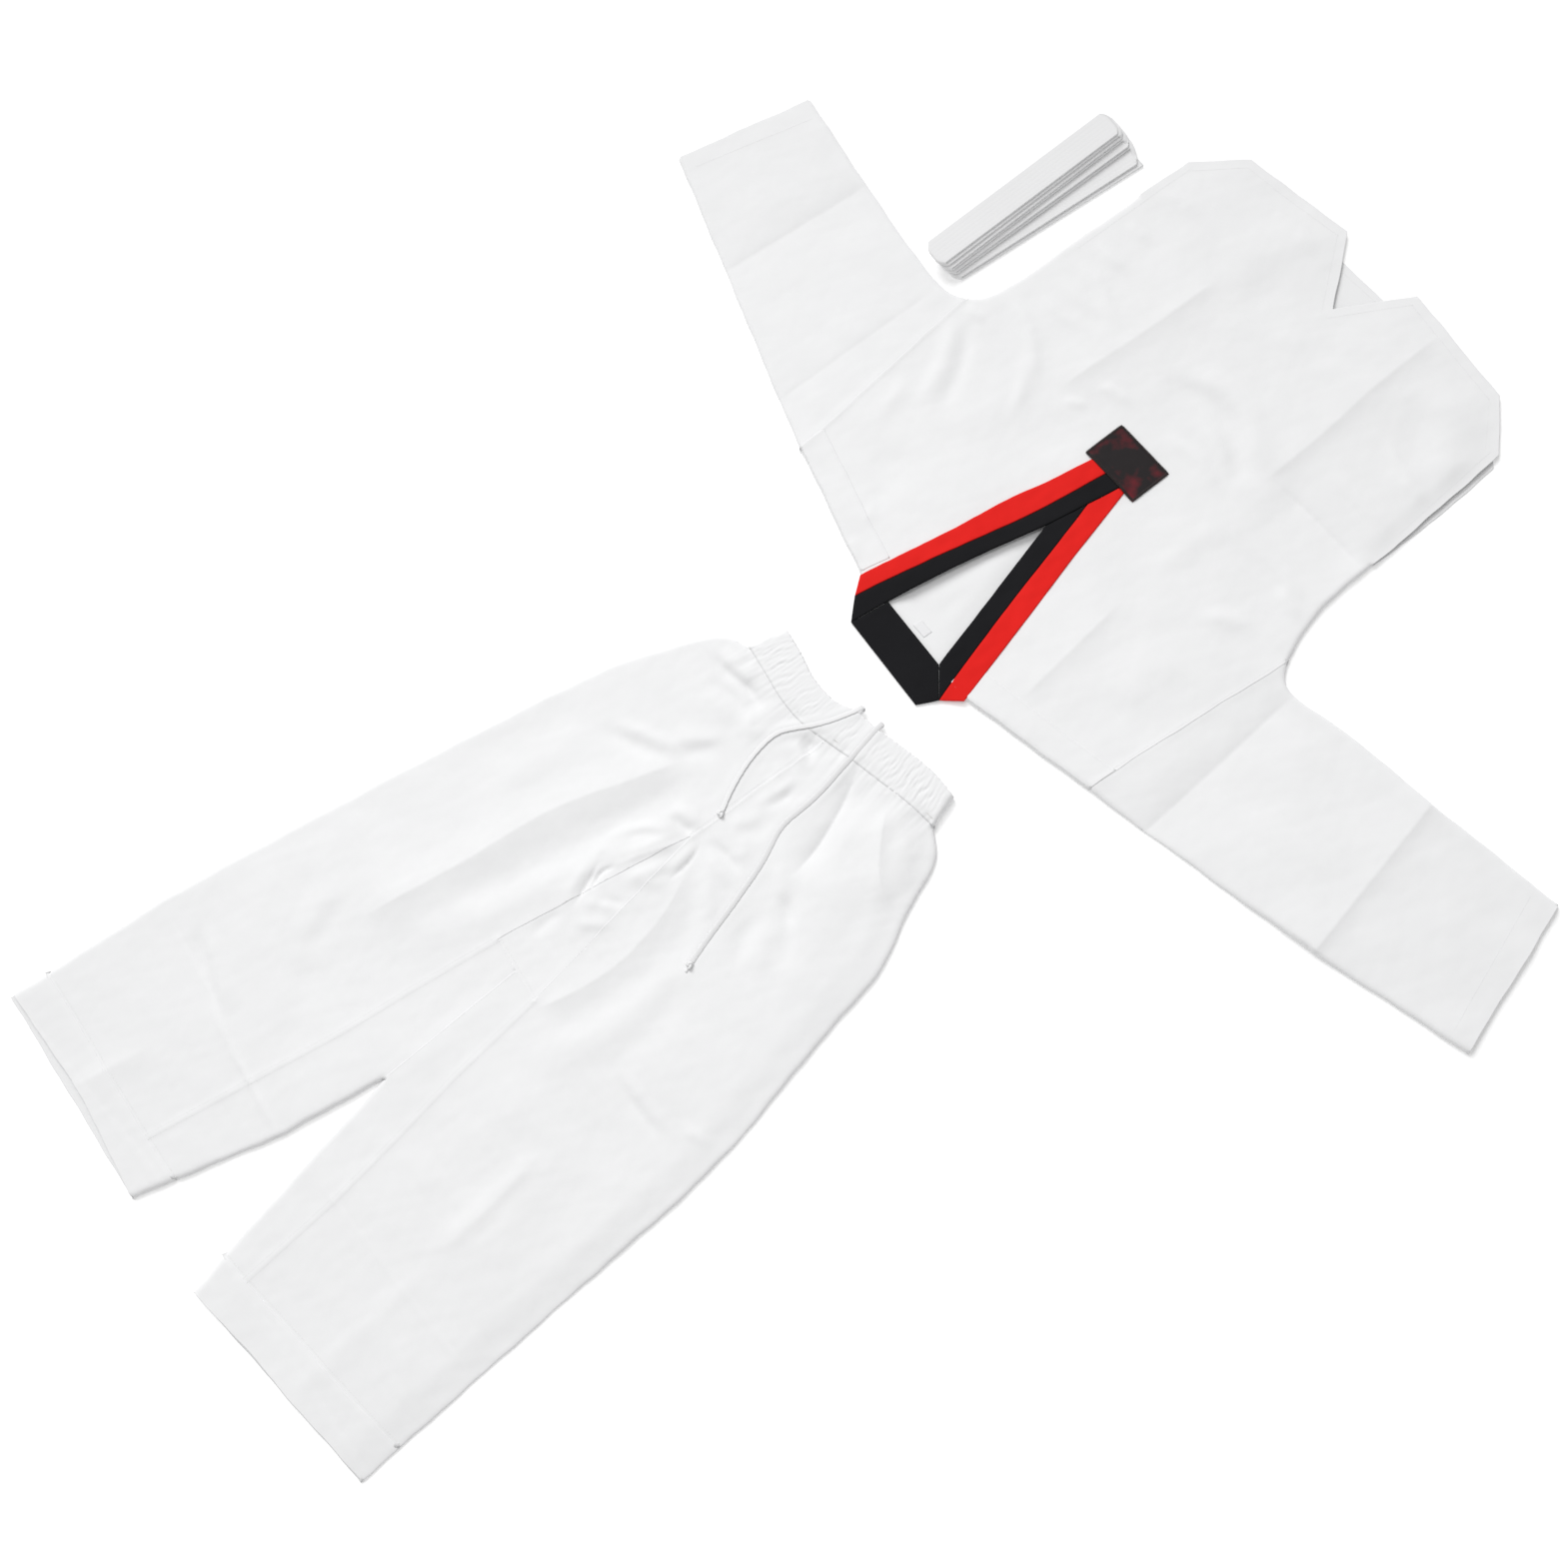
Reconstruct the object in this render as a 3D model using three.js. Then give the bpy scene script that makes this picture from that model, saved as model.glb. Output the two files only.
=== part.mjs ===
// A martial arts uniform laid out flat: pullover jacket, trousers and folded belt.
// X runs across the garments, +Y from the trouser cuffs to the jacket hem, +Z up from the table.
// Outlines are in garment coordinates, with their origin between the two neck corners of the jacket.
import * as THREE from 'three';

// Driving dimensions, in millimetres
const ply = 1.4;                 // cloth layer
const trimPly = 1.2;             // collar strip, patch, yoke
const seamGap = 0.3;             // clearance between neighbouring pieces
const airGap = 5.2;              // room between the back and the front layer
const frontLow = ply + airGap;   // underside of the front layer
const frontHigh = frontLow + ply;
const trimLow = frontHigh + seamGap;
const waistRise = 3.4;           // how much higher the trouser front lies at the waist than at the shin
const seamAllowance = { near: 2, far: 7, end: 3 };  // seam strip, measured in from the garment's edge
const layoutCentre = [8, -196];  // middle of the whole layout in garment coordinates
const hemFoldY = 448;
const patch = { left: -51, right: 33, low: 303, high: 358 };
const label = { left: -8, right: 12, low: 9, high: 21 };
const casing = { ply: 1, cavity: 2, opening: 4.8 };
const elasticThickness = 1.2;
const drawstring = { width: 6, thickness: 3, sides: 8 };
const knotRadius = 4;
const belt = { width: 38, webbing: 2.7, pitch: 3, layers: 8, length: 284, shear: 1.75, turn: -3.8 };
const beltCentre = [-339, 477];

const white = { color: 0xf1f1f1, roughness: 0.9, metalness: 0 };
const cream = { color: 0xe9e9e9, roughness: 0.85, metalness: 0 };
const red = { color: 0xe62d28, roughness: 0.85, metalness: 0 };
const black = { color: 0x232326, roughness: 0.85, metalness: 0 };
const badge = { color: 0x3a2a2c, roughness: 0.8, metalness: 0 };

// Jacket edges. Lists run from the neck outwards or from the neck towards the hem.
const leftShoulder = [[-100, 2], [-276, 46]];
const leftSleeveTop = [[-276, 46], [-350, 67], [-541, 125]];
const leftForearmTop = [[-541, 125], [-714, 177]];
const leftUnderarm = [[-303, 325], [-320, 317], [-342, 313], [-400, 318], [-518, 335]];
const leftForearmUnder = [[-518, 335], [-666, 359]];
const leftSide = [[-303, 325], [-288, 343], [-280, 372], [-277, 404], [-276, hemFoldY]];
const rightShoulder = [[100, -2], [271, 37]];
const rightSleeveTop = [[271, 37], [345, 54], [555, 103]];
const rightForearmTop = [[555, 103], [730, 155]];
const rightUnderarm = [[297, 302], [318, 282], [400, 296], [508, 309]];
const rightForearmUnder = [[508, 309], [673, 333]];
const rightSide = [[297, 302], [284, 334], [273, 375], [270, hemFoldY]];
const neckLeft = [-52, 7];
const neckRight = [47, 4];
const neckPoint = [-7, 206];
const frontHem = [[-276, hemFoldY], [-267, 646], [-218, 704], [-66, 719], [0, 636], [51, 719], [206, 697],
  [254, 648], [263, 500], [264, hemFoldY]];
const backHem = [[-270, hemFoldY], [-262, 640], [-214, 688], [204, 690], [267, 632], [271, hemFoldY]];

// Collar strips: red outside, black inside, the left band lying over the right one at its end
const leftBandOuter = [[-37, 302], [-50, 240], [-61, 200], [-75, 120], [-100, 2], [-84, -19]];
const leftBandMiddle = [[-12, 302], [-22, 240], [-30, 200], [-50, 120], [-84, -19]];
const leftBandInner = [[12, 302], [4, 260], [-7, 206], [-29, 120], [-52, 7], [-62, -42]];
const rightBandOuter = [[20, 302], [36, 240], [46, 200], [68, 120], [100, -2], [80, -23]];
const rightBandMiddle = [[4, 260], [20, 200], [40, 120], [80, -23]];
const yokeShare = 0.32;          // how far down the straight part of the collar the yoke reaches
const backBand = [[-52, 6.4], [-62, -42], [67, -47], [80, -23], [47, 3.4]];

// Trouser edges. Lists run from the waist to the cuff.
const waistTop = [[-99, -110], [-64, -115], [-30, -122], [8, -120], [34, -109], [66, -103], [110, -92],
  [148, -85], [184, -85]];
const waistBottom = [[-111, -157], [-72, -162], [-32, -167], [4, -166], [38, -158], [72, -149], [116, -139],
  [156, -130], [196, -124]];
const waistCentre = waistBottom[4];
const leftOutside = [[-111, -157], [-140, -170], [-173, -230], [-200, -302], [-243, -500], [-298, -800],
  [-313, -893]];
const rightOutside = [[196, -124], [225, -143], [255, -205], [288, -275], [305, -360], [343, -545],
  [357, -760], [364, -880]];
const leftPanelSeam = [[-13, -594], [-28, -700], [-40, -800], [-60, -915]];
const rightPanelSeam = [[71, -600], [85, -725], [97, -800], [112, -906]];
const gussetTop = [32, -345];
const gussetMiddle = [29, -597];
const crotch = [35, -790];
const leftFold = [[-313, -893], [-60, -915], [14, -921]];
const rightFold = [[57, -912], [112, -906], [364, -880]];
const leftBandLine = [[-328, -1056], [-84, -1053], [-22, -1050]];
const rightBandLine = [[83, -1044], [122, -1038], [371, -990]];
const leftCuff = [[-333, -1111], [-36, -1103]];
const rightCuff = [[95, -1095], [374, -1041]];

// Free ends of the drawstring: out over the top of the waistband, down the front, then down a leg
const leftDrawstring = [
  [36, -115, 7], [36, -110, 6.6], [36, -106, 5.4], [36, -102, 4.4], [36, -98.6, 5.6], [35.8, -97.5, 9.4],
  [35.4, -99.3, 13.6], [34.8, -103.5, 15.5], [33.6, -110, 15.7], [30, -122, 15.3], [25, -137, 15],
  [17, -155, 14.9], [6, -174, 14.2], [-2, -190, 13.6], [-4, -204, 13.3], [-2, -222, 13.2], [3, -243, 13.1],
  [11, -264, 13.1], [20, -283, 13], [30, -300, 12.9],
];
const rightDrawstring = [
  [65, -110, 7], [65, -105, 6.6], [65, -101, 5.4], [65, -97, 4.4], [65, -93.6, 5.6], [65.2, -92.5, 9.4],
  [65.6, -94.3, 13.6], [66.3, -98.5, 15.5], [67.5, -105, 15.7], [70, -118, 15.2], [73, -134, 15],
  [76, -150, 14.8], [79, -168, 14], [83, -188, 13.5], [86, -210, 13.3], [87, -230, 13.2], [87.5, -248, 13.1],
  [91, -264, 13], [99, -281, 12.9], [107, -298, 12.9], [114, -317, 12.8], [120, -336, 12.7],
  [126, -355, 12.6], [132, -376, 12.5], [138, -397, 12.4], [144, -416, 12.3], [149, -431, 12.2],
];

const uniform = new THREE.Group();
uniform.position.set(-layoutCentre[0], -layoutCentre[1], 0);

function addMesh(name, geometry, look) {
  const mesh = new THREE.Mesh(geometry, new THREE.MeshStandardMaterial(look));
  mesh.name = name;
  uniform.add(mesh);
  return mesh;
}

// Shifts a line of points sideways, to its left for a positive distance
function offsetLine(points, distance, closed = false) {
  const last = points.length - 1;
  return points.map((point, i) => {
    const from = points[i === 0 ? (closed ? last : 0) : i - 1];
    const to = points[i === last ? (closed ? 0 : last) : i + 1];
    const before = i === 0 && !closed ? to.clone().sub(point) : point.clone().sub(from);
    const after = i === last && !closed ? before.clone() : to.clone().sub(point);
    before.normalize();
    after.normalize();
    const mitre = new THREE.Vector2(-before.y - after.y, before.x + after.x).normalize();
    const spread = mitre.x * -before.y + mitre.y * before.x;
    return point.clone().addScaledVector(mitre, distance / spread);
  });
}

const toVectors = (points) => points.map(([x, y]) => new THREE.Vector2(x, y));

// A flat piece of cloth. Its faces lie at two heights, each a number or a function of y.
function cloth(name, outline, low, high, look) {
  let points = toVectors(outline);
  if (THREE.ShapeUtils.isClockWise(points)) points = points.reverse();
  const shape = new THREE.Shape(offsetLine(points, seamGap / 2, true));
  const geometry = new THREE.ExtrudeGeometry(shape, { depth: 1, bevelEnabled: false });
  const place = geometry.attributes.position;
  const height = (level, y) => (typeof level === 'function' ? level(y) : level);
  for (let i = 0; i < place.count; i += 1) {
    const y = place.getY(i);
    place.setZ(i, height(place.getZ(i) > 0.5 ? high : low, y));
  }
  return addMesh(name, geometry, look);
}

const backLayer = (name, outline) => cloth(name, outline, 0, ply, white);
const frontLayer = (name, outline) => cloth(name, outline, frontLow, frontHigh, white);
const trim = (name, outline, look) => cloth(name, outline, trimLow, trimLow + trimPly, look);

// The seam that joins the two layers along an edge; side is 1 where the cloth lies left of the edge
function seam(name, edge, side) {
  const line = toVectors(edge);
  const last = line.length - 1;
  line[0].addScaledVector(line[1].clone().sub(line[0]).normalize(), seamAllowance.end);
  line[last].addScaledVector(line[last - 1].clone().sub(line[last]).normalize(), seamAllowance.end);
  const near = offsetLine(line, side * seamAllowance.near);
  const far = offsetLine(line, side * seamAllowance.far).reverse();
  const outline = [...near, ...far].map((point) => [point.x, point.y]);
  return cloth(name, outline, ply + seamGap, frontLow - seamGap, white);
}

// A band between two edges with the same number of points, its section given as [share across, height]
function band(name, topEdge, bottomEdge, section, look) {
  const count = section.length;
  const positions = [];
  topEdge.forEach(([topX, topY], i) => {
    const [bottomX, bottomY] = bottomEdge[i];
    section.forEach(([share, z]) => {
      positions.push(topX + share * (bottomX - topX), topY + share * (bottomY - topY), z);
    });
  });
  const index = [];
  for (let i = 0; i + 1 < topEdge.length; i += 1) {
    for (let j = 0; j < count; j += 1) {
      const a = i * count + j;
      const b = i * count + ((j + 1) % count);
      index.push(a, a + count, b, b, a + count, b + count);
    }
  }
  const lastRing = (topEdge.length - 1) * count;
  const flat = section.map(([share, z]) => new THREE.Vector2(share, z));
  THREE.ShapeUtils.triangulateShape(flat, []).forEach(([a, b, c]) => {
    index.push(a, b, c, lastRing + a, lastRing + c, lastRing + b);
  });
  const geometry = new THREE.BufferGeometry();
  geometry.setAttribute('position', new THREE.Float32BufferAttribute(positions, 3));
  geometry.setIndex(index);
  geometry.computeVertexNormals();
  return addMesh(name, geometry, look);
}

const backwards = (points) => points.slice().reverse();
const between = ([x0, y0], [x1, y1], share) => [x0 + share * (x1 - x0), y0 + share * (y1 - y0)];

// Jacket body
function addJacket() {
  backLayer('back_panel_upper', [...backwards(leftShoulder), neckLeft, neckRight, ...rightShoulder,
    ...rightSide, ...backwards(leftSide)]);
  frontLayer('front_panel_upper', [leftShoulder[1], leftShoulder[0], neckLeft, neckPoint, neckRight,
    ...rightShoulder, ...rightSide, ...backwards(leftSide)]);
  frontLayer('front_panel_lower', frontHem);
  backLayer('back_panel_lower', backHem);
  seam('left_side_seam', leftSide.slice(1), -1);
  seam('right_side_seam', rightSide.slice(1), 1);
  seam('left_vent_seam', [[-270, hemFoldY], [-265, 570]], -1);
  seam('right_vent_seam', [[264, hemFoldY], [260, 570]], 1);
  const leftEnd = between(leftBandOuter[4], leftBandOuter[3], yokeShare);
  const rightEnd = between(rightBandOuter[4], rightBandOuter[3], yokeShare);
  trim('left_yoke', [leftShoulder[1], leftShoulder[0], leftEnd, [-150, 53], [-278, 84]], white);
  trim('right_yoke', [rightShoulder[1], rightShoulder[0], rightEnd, [150, 48], [273, 74]], white);
}

function addCollar() {
  trim('left_collar_red', [...leftBandOuter, ...backwards(leftBandMiddle).slice(1)], red);
  trim('left_collar_black', [...leftBandMiddle, ...backwards(leftBandInner)], black);
  trim('right_collar_red', [...rightBandOuter, ...backwards(rightBandMiddle).slice(1), [12, 302]], red);
  trim('right_collar_black', [...rightBandMiddle, neckRight, neckPoint], black);
  const slope = (trimLow + trimPly - 2.5) / (neckLeft[1] - backBand[2][1]);
  const top = (y) => trimLow + trimPly - slope * (neckLeft[1] - y);
  cloth('back_neck_band', backBand, (y) => top(y) - 2.3, top, black);
  const { left, right, low, high } = patch;
  trim('chest_patch', [[left, low], [right, low], [right, high], [left, high]], badge);
  const labelOutline = [[label.left, label.low], [label.right, label.low], [label.right, label.high],
    [label.left, label.high]];
  cloth('size_label', labelOutline, ply + seamGap, ply + seamGap + 0.5, white);
}

// Sleeve between the armhole and the pressed fold, then the part beyond the fold
function addSleeve(side, top, under, forearmTop, forearmUnder, inward) {
  const sleeve = [...top, ...backwards(under)];
  const forearm = [...forearmTop, ...backwards(forearmUnder)];
  frontLayer(`${side}_sleeve_front`, sleeve);
  backLayer(`${side}_sleeve_back`, sleeve);
  seam(`${side}_underarm_seam`, under.slice(1), inward);
  frontLayer(`${side}_forearm_front`, forearm);
  backLayer(`${side}_forearm_back`, forearm);
  seam(`${side}_forearm_seam`, forearmUnder, inward);
}

// The trouser front rises evenly from the shin fold to the waistband
const frontAt = (lift) => (y) => lift + waistRise * ((y - leftFold[0][1]) / (waistCentre[1] - leftFold[0][1]));

function addTrousers() {
  const low = frontAt(frontLow);
  const high = frontAt(frontHigh);
  const leftWaist = waistBottom.slice(0, 5);
  const rightWaist = waistBottom.slice(4);
  const legs = {
    left_leg_front: [...backwards(leftWaist), ...leftOutside.slice(1), leftFold[1],
      ...backwards(leftPanelSeam).slice(1), gussetTop],
    right_leg_front: [...rightWaist, ...rightOutside.slice(1), rightFold[1],
      ...backwards(rightPanelSeam).slice(1), gussetTop],
    crotch_gusset: [gussetTop, leftPanelSeam[0], gussetMiddle, rightPanelSeam[0]],
    left_inner_panel: [...leftPanelSeam, leftFold[2], crotch, gussetMiddle],
    right_inner_panel: [...rightPanelSeam, rightFold[0], crotch, gussetMiddle],
  };
  Object.entries(legs).forEach(([name, outline]) => cloth(name, outline, low, high, white));
  backLayer('left_leg_back', [...backwards(leftWaist), ...leftOutside.slice(1), leftFold[2], crotch]);
  backLayer('right_leg_back', [...rightWaist, ...rightOutside.slice(1), rightFold[0], crotch]);
  seam('left_outer_seam', leftOutside.slice(1), 1);
  seam('right_outer_seam', rightOutside.slice(1), -1);
}

// The part of a leg beyond the shin fold, with its deep cuff band
function addShin(side, fold, bandLine, cuff, inward) {
  const shin = [...fold, ...backwards(bandLine)];
  const cuffBand = [...bandLine, ...backwards(cuff)];
  frontLayer(`${side}_shin_front`, shin);
  backLayer(`${side}_shin_back`, shin);
  frontLayer(`${side}_cuff_front`, cuffBand);
  backLayer(`${side}_cuff_back`, cuffBand);
  const outer = side === 'left' ? [fold[0], bandLine[0]] : [fold[2], bandLine[2]];
  seam(`${side}_shin_seam`, outer, inward);
}

// Gathered waistband: a folded casing in front and behind, each with its run of elastic
function addWaistband() {
  const height = 2 * casing.ply + casing.cavity;
  const foldShare = casing.ply / 46;
  const layers = { back: 0, front: height + casing.opening };
  const full = 1 - foldShare / 3;
  Object.entries(layers).forEach(([side, low]) => {
    const top = low + height;
    const inside = [low + casing.ply, top - casing.ply];
    const section = [[0, low], [full, low], [full, inside[0]], [foldShare, inside[0]],
      [foldShare, inside[1]], [full, inside[1]], [full, top], [0, top]];
    band(`waistband_${side}`, waistTop, waistBottom, section, white);
    const elasticLow = (inside[0] + inside[1] - elasticThickness) / 2;
    const strip = [[0.2, elasticLow], [0.86, elasticLow], [0.86, elasticLow + elasticThickness],
      [0.2, elasticLow + elasticThickness]];
    band(`waist_elastic_${side}`, waistTop, waistBottom, strip, cream);
  });
}

function addDrawstring(side, route) {
  const points = route.map(([x, y, z]) => new THREE.Vector3(x, y, z));
  const path = new THREE.CatmullRomCurve3(points, false, 'centripetal');
  const section = new THREE.Shape();
  for (let i = 0; i < drawstring.sides; i += 1) {
    const angle = (i / drawstring.sides) * 2 * Math.PI;
    const x = (drawstring.width / 2) * Math.cos(angle);
    const y = (drawstring.thickness / 2) * Math.sin(angle);
    if (i === 0) section.moveTo(x, y);
    else section.lineTo(x, y);
  }
  const steps = 40;
  const tube = new THREE.ExtrudeGeometry(section, { steps, extrudePath: path, bevelEnabled: false });
  addMesh(`drawstring_${side}`, tube, cream);
  const end = points[points.length - 1];
  const along = path.getTangent(1);
  const knot = addMesh(`drawstring_${side}_knot`, new THREE.SphereGeometry(knotRadius, 12, 8), cream);
  const flatness = 0.8;
  knot.scale.set(1, 1, flatness);
  knot.position.copy(end).addScaledVector(along, knotRadius + seamGap);
  knot.position.z = end.z + knotRadius * flatness - drawstring.thickness / 2;
}

// The belt: one length of webbing laid to and fro, its layers fanned a little sideways
function addBelt() {
  const { width, webbing, pitch, layers, length, shear, turn } = belt;
  const half = length / 2 - pitch / 2;
  const centreLine = [];
  const turnSteps = 6;
  for (let i = 0; i < layers; i += 1) {
    const z = (i + 0.5) * pitch - (pitch - webbing) / 2;
    const forward = i % 2 === 0 ? 1 : -1;
    centreLine.push(new THREE.Vector2(-forward * half, z), new THREE.Vector2(forward * half, z));
    for (let j = 1; j < turnSteps && i < layers - 1; j += 1) {
      const angle = -Math.PI / 2 + (j / turnSteps) * Math.PI;
      centreLine.push(new THREE.Vector2(forward * (half + (pitch / 2) * Math.cos(angle)),
        z + pitch / 2 + (pitch / 2) * Math.sin(angle)));
    }
  }
  const left = offsetLine(centreLine, webbing / 2);
  const right = offsetLine(centreLine, -webbing / 2).reverse();
  const section = new THREE.Shape([...right, ...left]);
  const geometry = new THREE.ExtrudeGeometry(section, { depth: width, bevelEnabled: false });
  geometry.rotateX(Math.PI / 2);
  geometry.rotateZ(Math.PI / 2);
  const place = geometry.attributes.position;
  const middle = (layers * pitch) / 2;
  for (let i = 0; i < place.count; i += 1) {
    place.setX(i, place.getX(i) - width / 2 - shear * (place.getZ(i) - middle));
  }
  const mesh = addMesh('folded_belt', geometry, cream);
  mesh.rotation.z = THREE.MathUtils.degToRad(turn);
  mesh.position.set(beltCentre[0], beltCentre[1], 0);
}

addJacket();
addCollar();
addSleeve('left', leftSleeveTop, leftUnderarm, leftForearmTop, leftForearmUnder, 1);
addSleeve('right', rightSleeveTop, rightUnderarm, rightForearmTop, rightForearmUnder, -1);
addTrousers();
addShin('left', leftFold, leftBandLine, leftCuff, 1);
addShin('right', rightFold, rightBandLine, rightCuff, -1);
addWaistband();
addDrawstring('left', leftDrawstring);
addDrawstring('right', rightDrawstring);
addBelt();

export default uniform;
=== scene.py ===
import bpy, bmesh, math
import numpy as np
from mathutils import Vector, Matrix
from mathutils.kdtree import KDTree
from mathutils.geometry import delaunay_2d_cdt


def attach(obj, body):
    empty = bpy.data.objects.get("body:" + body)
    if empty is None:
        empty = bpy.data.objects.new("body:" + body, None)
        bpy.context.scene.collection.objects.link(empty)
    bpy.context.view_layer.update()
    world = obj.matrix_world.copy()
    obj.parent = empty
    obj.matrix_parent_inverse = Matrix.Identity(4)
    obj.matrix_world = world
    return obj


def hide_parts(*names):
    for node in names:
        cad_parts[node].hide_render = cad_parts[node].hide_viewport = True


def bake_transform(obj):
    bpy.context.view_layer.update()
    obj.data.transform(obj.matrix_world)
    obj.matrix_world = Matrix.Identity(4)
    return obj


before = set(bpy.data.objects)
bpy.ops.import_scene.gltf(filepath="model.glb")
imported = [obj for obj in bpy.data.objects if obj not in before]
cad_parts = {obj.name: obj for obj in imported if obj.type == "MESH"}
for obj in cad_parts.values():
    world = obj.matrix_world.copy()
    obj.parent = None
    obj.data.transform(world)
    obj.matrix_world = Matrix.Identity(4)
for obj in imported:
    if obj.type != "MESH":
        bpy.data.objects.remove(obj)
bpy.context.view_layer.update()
scene = bpy.context.scene
print("frame loaded:", len(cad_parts), "nodes")

# Outlines are in millimetres in the garment's own axes: x across, y from the cuffs to the jacket hem.
layoutCentre = (8, -196)


def inFrame(x, y, z=0.0):
    return ((x - layoutCentre[0]) / 1000, (y - layoutCentre[1]) / 1000, z / 1000)


# Camera
cameraPlace = {
    "place": (0.53328, -0.10652, 1.6575),
    "right": (0.59687, 0.78986, -0.14093),
    "up": (-0.74982, 0.61163, 0.25227),
    "back": (0.28546, -0.0449, 0.95734),
    "lens": 34.417,
}
cameraData = bpy.data.cameras.new("camera")
camera = bpy.data.objects.new("camera", cameraData)
scene.collection.objects.link(camera)
cameraData.lens = cameraPlace["lens"]
cameraData.sensor_width = 36
cameraData.clip_start = 0.01
camera.matrix_world = Matrix.Translation(cameraPlace["place"]) @ Matrix(
    (cameraPlace["right"], cameraPlace["up"], cameraPlace["back"])).transposed().to_4x4()
scene.camera = camera


# Node helpers
def link(tree, source, target):
    tree.links.new(source, target)


def calc(tree, operation, *values):
    node = tree.nodes.new("ShaderNodeMath")
    node.operation = operation
    for i, value in enumerate(values):
        if isinstance(value, (int, float)):
            node.inputs[i].default_value = value
        else:
            link(tree, value, node.inputs[i])
    return node.outputs[0]


def blendColour(tree, factor, first, second):
    node = tree.nodes.new("ShaderNodeMix")
    node.data_type = "RGBA"
    for socket, value in ((node.inputs[0], factor), (node.inputs[6], first), (node.inputs[7], second)):
        if isinstance(value, (tuple, float)):
            socket.default_value = value
        else:
            link(tree, value, socket)
    return node.outputs[2]


def newGroup(name, inputs, outputs):
    tree = bpy.data.node_groups.new(name, "ShaderNodeTree")
    for label, value in inputs.items():
        kind = "NodeSocketVector" if value is None else "NodeSocketFloat"
        socket = tree.interface.new_socket(name=label, in_out="INPUT", socket_type=kind)
        if value is not None:
            socket.default_value = value
    for label in outputs:
        tree.interface.new_socket(name=label, in_out="OUTPUT", socket_type="NodeSocketFloat")
    start, end = tree.nodes.new("NodeGroupInput"), tree.nodes.new("NodeGroupOutput")
    return tree, start.outputs, end.inputs


def turned(tree, vector, angle):
    node = tree.nodes.new("ShaderNodeVectorRotate")
    node.rotation_type = "Z_AXIS"
    link(tree, vector, node.inputs["Vector"])
    link(tree, angle, node.inputs["Angle"])
    parts = tree.nodes.new("ShaderNodeSeparateXYZ")
    link(tree, node.outputs[0], parts.inputs[0])
    return parts.outputs


# Warp and weft threads that pass over and under each other; the gaps between them get painted shade in the
# colour
def makePlainWeave():
    tree, given, out = newGroup("plain weave", {"Vector": None, "Pitch": 0.0007, "Turn": 0.0},
                                ["Height", "GapShade"])
    parts = turned(tree, given["Vector"], given["Turn"])
    wefts, warps = (calc(tree, "SINE", calc(tree, "DIVIDE", calc(tree, "MULTIPLY", part, math.pi),
                                            given["Pitch"])) for part in parts[:2])
    over = calc(tree, "ADD", calc(tree, "MULTIPLY", calc(tree, "MULTIPLY", wefts, warps), 0.8), 0.5)
    warp, weft = calc(tree, "ABSOLUTE", wefts), calc(tree, "ABSOLUTE", warps)
    height = calc(tree, "ADD", calc(tree, "MULTIPLY", warp, over),
                  calc(tree, "MULTIPLY", weft, calc(tree, "SUBTRACT", 1.0, over)))
    link(tree, height, out["Height"])
    # Painted shade: how far the colour is darkened in the gaps between threads
    link(tree, calc(tree, "POWER", calc(tree, "SUBTRACT", 1.0, height), 2.0), out["GapShade"])
    return tree


# Slanted ribs, as in twill tape and herringbone cord; the grooves between ribs get painted shade in the
# colour
def makeTwill():
    tree, given, out = newGroup("twill rib", {"Vector": None, "Pitch": 0.0012, "Turn": 0.0, "Slant": 1.0},
                                ["Height", "GapShade"])
    parts = turned(tree, given["Vector"], given["Turn"])
    slanted = calc(tree, "ADD", parts[0], calc(tree, "MULTIPLY", parts[1], given["Slant"]))
    wave = calc(tree, "SINE", calc(tree, "DIVIDE", calc(tree, "MULTIPLY", slanted, math.pi), given["Pitch"]))
    thread = calc(tree, "SINE", calc(tree, "DIVIDE", calc(tree, "MULTIPLY", parts[0], 2 * math.pi),
                                     calc(tree, "MULTIPLY", given["Pitch"], 0.6)))
    rib = calc(tree, "ABSOLUTE", wave)
    link(tree, calc(tree, "ADD", rib, calc(tree, "MULTIPLY", thread, 0.12)), out["Height"])
    # Painted shade: how far the colour is darkened in the grooves between ribs
    link(tree, calc(tree, "POWER", calc(tree, "SUBTRACT", 1.0, rib), 2.0), out["GapShade"])
    return tree


# Soft clouds and small slubs that break up an even cloth
def makeClothTone():
    tree, given, out = newGroup("cloth tone", {"Vector": None, "Cloud": 9.0, "Slub": 600.0},
                                ["Cloud", "Slub"])
    for label, detail in (("Cloud", 3.0), ("Slub", 1.0)):
        noise = tree.nodes.new("ShaderNodeTexNoise")
        noise.inputs["Detail"].default_value = detail
        link(tree, given["Vector"], noise.inputs["Vector"])
        link(tree, given[label], noise.inputs["Scale"])
        link(tree, noise.outputs[0], out[label])
    return tree


weaves = {"plain": makePlainWeave(), "twill": makeTwill()}
clothTone = makeClothTone()


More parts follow.
